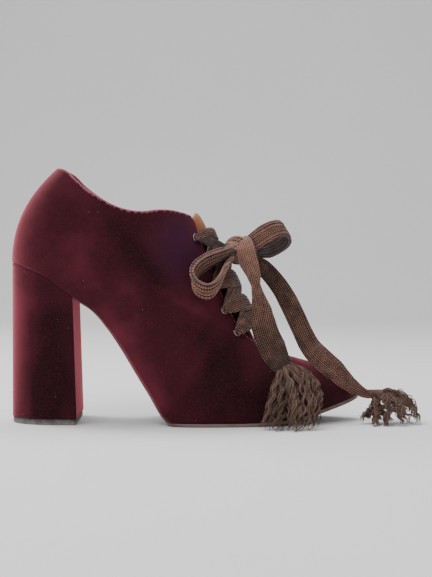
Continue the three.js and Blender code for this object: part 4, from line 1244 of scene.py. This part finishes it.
def lace_piece(name, node, route, finish, seed, far_end, painted_light_and_random_tone, ribs, smooth_back):
    """One length of lace along its route.

    painted_light_and_random_tone is how much lighter the knit is painted at its two ends, in the
    material's own steps, as painted light and shade, and smooth_back how plain its back face looks."""
    closed = far_end == "object"
    grid, back, centre, length = route_grid(route, LACE_PUCKER, seed, closed=closed, ribs=ribs)
    vertices, faces, uv = grid
    piece = new_object(name, vertices, faces, finish, uv=uv)
    mark(piece, "back", back * smooth_back)
    mark(piece, "painted_light_and_random_tone", np.broadcast_to(np.linspace(*painted_light_and_random_tone, len(centre))[:, None], back.shape))
    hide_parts(node)


# Tassels: head from and to, then locks as middle x, y, z, tip x, y, z and radius, in millimetres.
NEAR_TASSEL = {
    "head": [[64.6, -33.2, 38], [68.5, -38.5, 32.5]],
    "locks": [
        [57, -43, 21, 50, -52, 3, 5],
        [61, -47, 18, 59, -56, 2.2, 5.5],
        [68, -48, 20, 68, -58, 2.2, 6],
        [75, -47, 22, 75, -57, 2.2, 5.5],
        [80, -44, 25, 81, -52, 3, 5.5],
        [82, -41, 29, 84, -47, 10, 4.5],
    ],
}
FAR_TASSEL = {
    "head": [[126.4, -11.3, 18.5], [135.5, -13.5, 17]],
    "locks": [
        [123.5, -19, 10.5, 115.5, -23, 5, 4],
        [127, -22, 11, 124, -34, 2.2, 5],
        [132, -23, 12, 131.5, -36, 2.2, 4.5],
        [138, -22, 12, 141, -35, 2.2, 5],
        [144, -17, 14, 151, -29, 2.2, 5],
        [145, -12, 15, 153, -14, 5, 4],
    ],
}

# Tufts in a lock, points along a yarn and round it, and points along and round a neck.
TUFTS = 5
YARN_POINTS = 40
YARN_SIDES = 6
NECK_POINTS = 40
NECK_SIDES = 24


def yarn_lines(shape, mouth, yarns_per_lock, rng):
    """Yarns in tufts that wind as helices about each lock's curve, spread over its radius.

    A lock's curve is the parabola through the head, the lock's middle and its tip. The yarns
    of a tuft share its helix, each set a little off it, and start along mouth, half the
    lace's end. Returns the lines and their radii in millimetres."""
    head = np.array(shape["head"], float)
    locks = np.repeat(np.array(shape["locks"], float), yarns_per_lock, axis=0)
    count = len(locks)
    tuft = np.arange(count) // yarns_per_lock * TUFTS + rng.integers(0, TUFTS, count)
    tufts = count // yarns_per_lock * TUFTS
    begin = (np.arange(tufts) // TUFTS * 2 + rng.uniform(0, 2, tufts)) / (tufts // TUFTS) - 1
    start = (head[0] - (head[1] - head[0]) * 0.1 + begin[tuft, None] * np.array(mouth))[:, None]
    t = np.linspace(0, 1, YARN_POINTS)[None, :, None]
    middle = locks[:, None, 0:3]
    tip = locks[:, None, 3:6]
    radius = locks[:, 6]
    control = 2 * middle - (start + tip) / 2
    stretch = rng.uniform(0.8, 1.06, (count, 1, 1))
    time = t * stretch
    line = (1 - time) ** 2 * start + 2 * time * (1 - time) * control + time ** 2 * tip
    spread = (0.85 * np.sqrt(rng.uniform(0, 1, tufts)))[tuft] * radius
    way = unit(rng.normal(size=(tufts, 3)))[tuft]
    own = rng.normal(size=(count, 3)) * 0.6
    grow = np.clip(0.25 + 0.95 * np.sin(np.pi * np.clip(time, 0, 0.8)), 0, 1.2)
    line = line + (way * spread[:, None] + own)[:, None] * grow
    tangent = unit(np.gradient(line, axis=1))
    first = unit(np.cross(tangent, unit(rng.normal(size=(tufts, 1, 3)))[tuft]))
    second = np.cross(tangent, first)
    turns = rng.uniform(3, 5.5, (tufts, 1, 1))[tuft]
    phase = rng.uniform(0, 2 * np.pi, (tufts, 1, 1))[tuft] + rng.normal(size=(count, 1, 1)) * 0.35
    curl = rng.uniform(0.7, 1.5, (tufts, 1, 1))[tuft] * np.clip(3 * time, 0, 1)
    angle = 2 * np.pi * turns * time + phase
    line = line + curl * (np.cos(angle) * first + np.sin(angle) * second)
    thick = rng.uniform(0.17, 0.34, (count, 1)) * np.clip(1.25 - t[..., 0] ** 4 * 0.8, 0, 1)
    line[..., 2] = np.maximum(line[..., 2], thick)
    return line, thick


def yarn_tubes(line, thick, rng):
    """A closed tube along each line, with UVs of the share round it and metres along it."""
    count = len(line)
    tangent = unit(np.gradient(line, axis=1))
    first = unit(np.cross(tangent, unit(rng.normal(size=(count, 1, 3)))))
    second = np.cross(tangent, first)
    around = np.arange(YARN_SIDES) / YARN_SIDES * 2 * np.pi
    circle = (
        np.cos(around)[:, None] * first[:, :, None] + np.sin(around)[:, None] * second[:, :, None]
    )
    tube = line[:, :, None] + thick[..., None, None] * circle
    steps = np.linalg.norm(np.diff(line, axis=1), axis=-1)
    travelled = np.concatenate([np.zeros((count, 1)), np.cumsum(steps, axis=1)], 1)
    shape = (count, YARN_POINTS, YARN_SIDES)
    uv = np.stack([
        np.broadcast_to(around / (2 * np.pi), shape),
        np.broadcast_to(travelled[..., None] * MM, shape),
    ], -1)
    first_number = np.arange(count)[:, None, None] * YARN_POINTS * YARN_SIDES
    cap = np.array([[5, 4, 1, 0], [4, 3, 2, 1]])
    caps = np.concatenate([cap, cap[:, ::-1] + (YARN_POINTS - 1) * YARN_SIDES])
    quads = grid_faces(YARN_POINTS, YARN_SIDES, closed=True)
    faces = np.concatenate([(quads + first_number).reshape(-1, 4), (caps + first_number).reshape(-1, 4)])
    return tube.reshape(-1, 3) * MM, faces, uv.reshape(-1, 2)


def wound_neck(head, neck):
    """A barrel along the head, rippled by a sine like yarn wound on it. neck is its radius."""
    along = np.linspace(0, 1, NECK_POINTS)
    around = np.arange(NECK_SIDES) / NECK_SIDES * 2 * np.pi
    s, a = np.meshgrid(along, around, indexing="ij")
    axis = unit(head[1] - head[0])
    u_way = unit(np.cross(axis, [0.0, 0.0, 1.0]))
    v_way = np.cross(axis, u_way)
    bulge = (neck + 0.4 * s) * np.sqrt(np.clip(1 - (2 * s - 1) ** 8, 0, 1)) + 0.18 * np.sin(s * 44)
    barrel = (
        head[0] + (head[1] - head[0]) * (s[..., None] - 0.4)
        + bulge[..., None] * (np.cos(a)[..., None] * u_way + np.sin(a)[..., None] * v_way)
    )
    uv = np.stack([a / 2, s * 0.008], -1)
    faces = grid_faces(NECK_POINTS, NECK_SIDES, closed=True)
    return barrel.reshape(-1, 3) * MM, faces, uv.reshape(-1, 2)


def tassel_piece(name, node, shape, mouth, neck, yarns_per_lock, seed, finish):
    """A tassel's yarns in one mesh. A wound neck covers their start when its radius isn't 0."""
    rng = np.random.default_rng(seed)
    line, thick = yarn_lines(shape, mouth, yarns_per_lock, rng)
    tubes = yarn_tubes(line, thick, rng)
    wound = [wound_neck(np.array(shape["head"], float), neck)] if neck else []
    vertices, faces, uvs = join([tubes, *wound])
    piece = new_object(name, vertices, faces, finish, uv=uvs)
    tone = np.repeat(rng.uniform(-0.3, 0.35, len(line)), YARN_POINTS * YARN_SIDES)
    mark(piece, "painted_light_and_random_tone", np.concatenate([tone, np.zeros(len(vertices) - len(tone))]))
    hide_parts(node)
    return piece


# Sizes and colours in the panel.

def colour_property(name, description, default):
    return bpy.props.FloatVectorProperty(
        name=name, description=description, default=default, subtype="COLOR", size=3, min=0, max=1,
    )


class BootFinishes(bpy.types.PropertyGroup):
    """Colours of the boot, linear."""

    # The velvet's lit and shade colours are a lit and a shaded copy of one pile colour: painted light and
    # shade.
    velvet_colour: colour_property("Velvet", "Lit pile of the upper", (0.061, 0.0097, 0.0168))
    shade_colour: colour_property("Velvet shade", "Pile brushed from the light", (0.004, 0.0015, 0.002))
    sheen_colour: colour_property("Sheen", "Rim of the pile", (0.75, 0.17, 0.22))
    # The velvet edge colour is a painted highlight on the top line's rim.
    rim_highlight_colour: colour_property("Velvet edge", "Pile on the turned edge of the top line", (0.3, 0.1, 0.13))
    # The violet cast is a painted violet reflection at the top of the facing.
    violet_reflection_colour: colour_property("Violet cast", "Pile at the top of the facing", (0.035, 0.01, 0.032))
    leather_colour: colour_property("Lining", "Leather of the lining and the tongue", (0.36, 0.15, 0.07))
    insole_colour: colour_property("Insole", "Leather under the foot", (0.3, 0.16, 0.09))
    sole_colour: colour_property("Sole", "Leather of the outsole's edge", (0.14, 0.1, 0.09))
    lift_colour: colour_property("Lift", "Rubber of the top lift", (0.11, 0.1, 0.1))
    lace_colour: colour_property("Laces", "Knit of the laces", (0.078, 0.038, 0.028))
    yarn_colour: colour_property("Tassels", "Unravelled yarn", (0.085, 0.047, 0.034))


class BootSizes(bpy.types.PropertyGroup):
    """Counts of the soft parts that a user would change."""

    near_yarns: bpy.props.IntProperty(
        name="Near yarns", description="Yarns in each lock of the near tassel", default=62, min=4,
    )
    far_yarns: bpy.props.IntProperty(
        name="Far yarns", description="Yarns in each lock of the far tassel", default=56, min=4,
    )


class BootStage(bpy.types.PropertyGroup):
    """Camera and lights."""

    camera_place: bpy.props.FloatVectorProperty(
        name="Camera", description="Where the camera stands", default=(0.0094, -0.9, 0.115),
        subtype="TRANSLATION", unit="LENGTH", size=3,
    )
    camera_aim: bpy.props.FloatVectorProperty(
        name="Aim", description="The way the camera looks", default=(0.01199, 1, -0.02885),
        subtype="DIRECTION", size=3,
    )
    lens: bpy.props.FloatProperty(
        name="Lens", description="Focal length in millimetres", default=83.27, min=10,
    )
    key_power: bpy.props.FloatProperty(
        name="Key light", description="Power of the light over the camera", default=14, min=0,
        unit="POWER",
    )
    rim_power: bpy.props.FloatProperty(
        name="Rim light", description="Power of the light behind the heel", default=9, min=0,
        unit="POWER",
    )
    top_power: bpy.props.FloatProperty(
        name="Top light", description="Power of the light above the boot", default=10, min=0,
        unit="POWER",
    )
    ambient: bpy.props.FloatProperty(
        name="Ambient", description="Strength of the even light from all round", default=0.6, min=0,
    )


def floor_piece():
    """A plain sheet that bends up behind the boot by a quarter circle."""
    x, s = np.meshgrid(np.linspace(-3, 3, 13), np.linspace(-2.2, 3.4, 120), indexing="ij")
    flat = 1.2
    radius = 0.6
    bend = np.clip(s - flat, 0, radius * np.pi / 2)
    y = np.where(s < flat, s, flat + radius * np.sin(bend / radius))
    z = radius * (1 - np.cos(bend / radius)) + np.clip(s - flat - radius * np.pi / 2, 0, None)
    shader = Shader("paper", Roughness=0.9)
    tone = shader.noise(shader.object_place(), 3)
    stops = [(0.3, (0.79, 0.79, 0.79)), (0.7, (0.82, 0.82, 0.82))]
    shader.connect("Base Color", shader.ramp(tone, stops))
    points = np.stack([x, y, z], -1).reshape(-1, 3)
    floor = new_object("floor", points, grid_faces(*x.shape), shader.material)


def area_light(name, place, target, size, power):
    data = bpy.data.lights.new(name, "AREA")
    data.shape = "RECTANGLE"
    data.size, data.size_y = size
    data.energy = power
    light = bpy.data.objects.new(name, data)
    bpy.context.scene.collection.objects.link(light)
    light.location = place
    light.rotation_euler = (Vector(target) - Vector(place)).to_track_quat("-Z", "Y").to_euler()


class BOOT_OT_stage(bpy.types.Operator):
    """Makes the floor, the lights and the camera"""

    bl_idname = "boot.stage"
    bl_label = "Stage"

    def execute(self, context):
        sizes = context.scene.boot_stage
        floor_piece()
        area_light("key", (-0.5, -1.0, 1.3), (0.0, 0.0, 0.06), (1.2, 0.9), sizes.key_power)
        area_light("rim_left", (-1.0, 0.5, 0.7), (-0.05, 0, 0.09), (0.5, 0.9), sizes.rim_power)
        area_light("top", (-0.15, 0.25, 1.2), (-0.02, 0, 0.1), (1.0, 0.5), sizes.top_power)
        world = bpy.data.worlds.new("studio")
        world.use_nodes = True
        background = world.node_tree.nodes["Background"]
        background.inputs["Color"].default_value = (1, 1, 1, 1)
        background.inputs["Strength"].default_value = sizes.ambient
        context.scene.world = world
        data = bpy.data.cameras.new("camera")
        data.lens = sizes.lens
        data.sensor_width = 36
        data.clip_start = 0.01
        camera = bpy.data.objects.new("camera", data)
        context.scene.collection.objects.link(camera)
        camera.location = sizes.camera_place
        camera.rotation_euler = Vector(sizes.camera_aim).to_track_quat("-Z", "Y").to_euler()
        context.scene.camera = camera
        return {"FINISHED"}


class BOOT_OT_bow(bpy.types.Operator):
    """Makes the bow's two loops, its two ends with their tassels, and its knot"""

    bl_idname = "boot.bow"
    bl_label = "Bow and tassels"

    def execute(self, context):
        finishes = context.scene.boot_finishes
        sizes = context.scene.boot_sizes
        knit = knit_finish("lace_knit", rgb(finishes.lace_colour))
        yarn = yarn_finish("yarn", rgb(finishes.yarn_colour))
        near = tassel_piece(
            "near_tassel", "tassel_near", NEAR_TASSEL, mouth=(4.2, -1.7, 2.8), neck=0,
            yarns_per_lock=sizes.near_yarns, seed=3, finish=yarn,
        )
        far = tassel_piece(
            "far_tassel", "tassel_far", FAR_TASSEL, mouth=(0.2, 0.7, 2), neck=2.9,
            yarns_per_lock=sizes.far_yarns, seed=5, finish=yarn,
        )
        # The tones of the lace ends and loops are painted light and shade.
        lace_piece(
            "near_end", "lace_end_near", NEAR_END, knit, seed=11, far_end="bare",
            painted_light_and_random_tone=(0.3, -0.3), ribs=0.0002, smooth_back=1,
        )
        lace_piece(
            "far_end", "lace_end_far", FAR_END, knit, seed=12, far_end="bare",
            painted_light_and_random_tone=(-0.2, 0.1), ribs=0.0002, smooth_back=1,
        )
        lace_piece(
            "near_loop", "lace_loop_near", NEAR_LOOP, knit, seed=13, far_end="object",
            painted_light_and_random_tone=(0.25, 0.25), ribs=0.0009, smooth_back=0.35,
        )
        lace_piece(
            "far_loop", "lace_loop_far", FAR_LOOP, knit, seed=14, far_end="object",
            painted_light_and_random_tone=(0.15, 0.05), ribs=0.0004, smooth_back=1,
        )
        knot_piece(knit)
        return {"FINISHED"}


class BOOT_OT_upper(bpy.types.Operator):
    """Makes the velvet upper with its leather lining"""

    bl_idname = "boot.upper"
    bl_label = "Upper"

    def execute(self, context):
        finishes = context.scene.boot_finishes
        lining = leather_finish("lining_leather", rgb(finishes.leather_colour))
        upper_piece(velvet_finish("velvet", finishes), lining)
        return {"FINISHED"}


class BOOT_OT_heel(bpy.types.Operator):
    """Makes the covered heel and its lift"""

    bl_idname = "boot.heel"
    bl_label = "Heel"

    def execute(self, context):
        finishes = context.scene.boot_finishes
        heel_piece(velvet_finish("heel_velvet", finishes, heel=True))
        lift_piece(rubber_finish("lift_rubber", rgb(finishes.lift_colour)))
        return {"FINISHED"}


class BOOT_OT_sole(bpy.types.Operator):
    """Makes the outsole, its platform and the insole"""

    bl_idname = "boot.sole"
    bl_label = "Sole and insole"

    def execute(self, context):
        finishes = context.scene.boot_finishes
        sole_piece(leather_finish("sole_leather", rgb(finishes.sole_colour), 0.45))
        insole_piece(leather_finish("insole_leather", rgb(finishes.insole_colour), 0.45))
        return {"FINISHED"}


class BOOT_OT_tongue(bpy.types.Operator):
    """Makes the tongue"""

    bl_idname = "boot.tongue"
    bl_label = "Tongue"

    def execute(self, context):
        finishes = context.scene.boot_finishes
        leather = leather_finish("tongue_leather", rgb(finishes.leather_colour), 0.5)
        tongue_piece(leather, velvet_finish("tongue_velvet", finishes, heel=True))
        return {"FINISHED"}


class BOOT_OT_lacing(bpy.types.Operator):
    """Makes the eyelets and the crossings through them"""

    bl_idname = "boot.lacing"
    bl_label = "Eyelets and crossings"

    def execute(self, context):
        finishes = context.scene.boot_finishes
        eyelets_piece(metal_finish("eyelet_metal"))
        crossings_piece(knit_finish("crossing_knit", rgb(finishes.lace_colour)))
        return {"FINISHED"}


OPERATORS = [
    BOOT_OT_stage, BOOT_OT_bow, BOOT_OT_upper, BOOT_OT_heel, BOOT_OT_sole, BOOT_OT_tongue,
    BOOT_OT_lacing,
]


class BOOT_PT_panel(bpy.types.Panel):
    """Lists the boot's sizes, finishes and pieces"""

    bl_idname = "BOOT_PT_panel"
    bl_label = "Boot"
    bl_space_type = "VIEW_3D"
    bl_region_type = "UI"
    bl_category = "Boot"

    def draw(self, context):
        for group in (context.scene.boot_sizes, context.scene.boot_finishes, context.scene.boot_stage):
            for name in group.__annotations__:
                self.layout.prop(group, name)
        for operator in OPERATORS:
            self.layout.operator(operator.bl_idname)


GROUPS = {"boot_sizes": BootSizes, "boot_finishes": BootFinishes, "boot_stage": BootStage}


def register():
    for name, group in GROUPS.items():
        bpy.utils.register_class(group)
        setattr(bpy.types.Scene, name, bpy.props.PointerProperty(type=group))
    for kind in (*OPERATORS, BOOT_PT_panel):
        bpy.utils.register_class(kind)


def unregister():
    for kind in reversed((*OPERATORS, BOOT_PT_panel)):
        bpy.utils.unregister_class(kind)
    for name, group in GROUPS.items():
        delattr(bpy.types.Scene, name)
        bpy.utils.unregister_class(group)


def main():
    register()
    for operator in OPERATORS:
        area, name = operator.bl_idname.split(".")
        getattr(getattr(bpy.ops, area), name)()


if __name__ == "__main__":
    main()
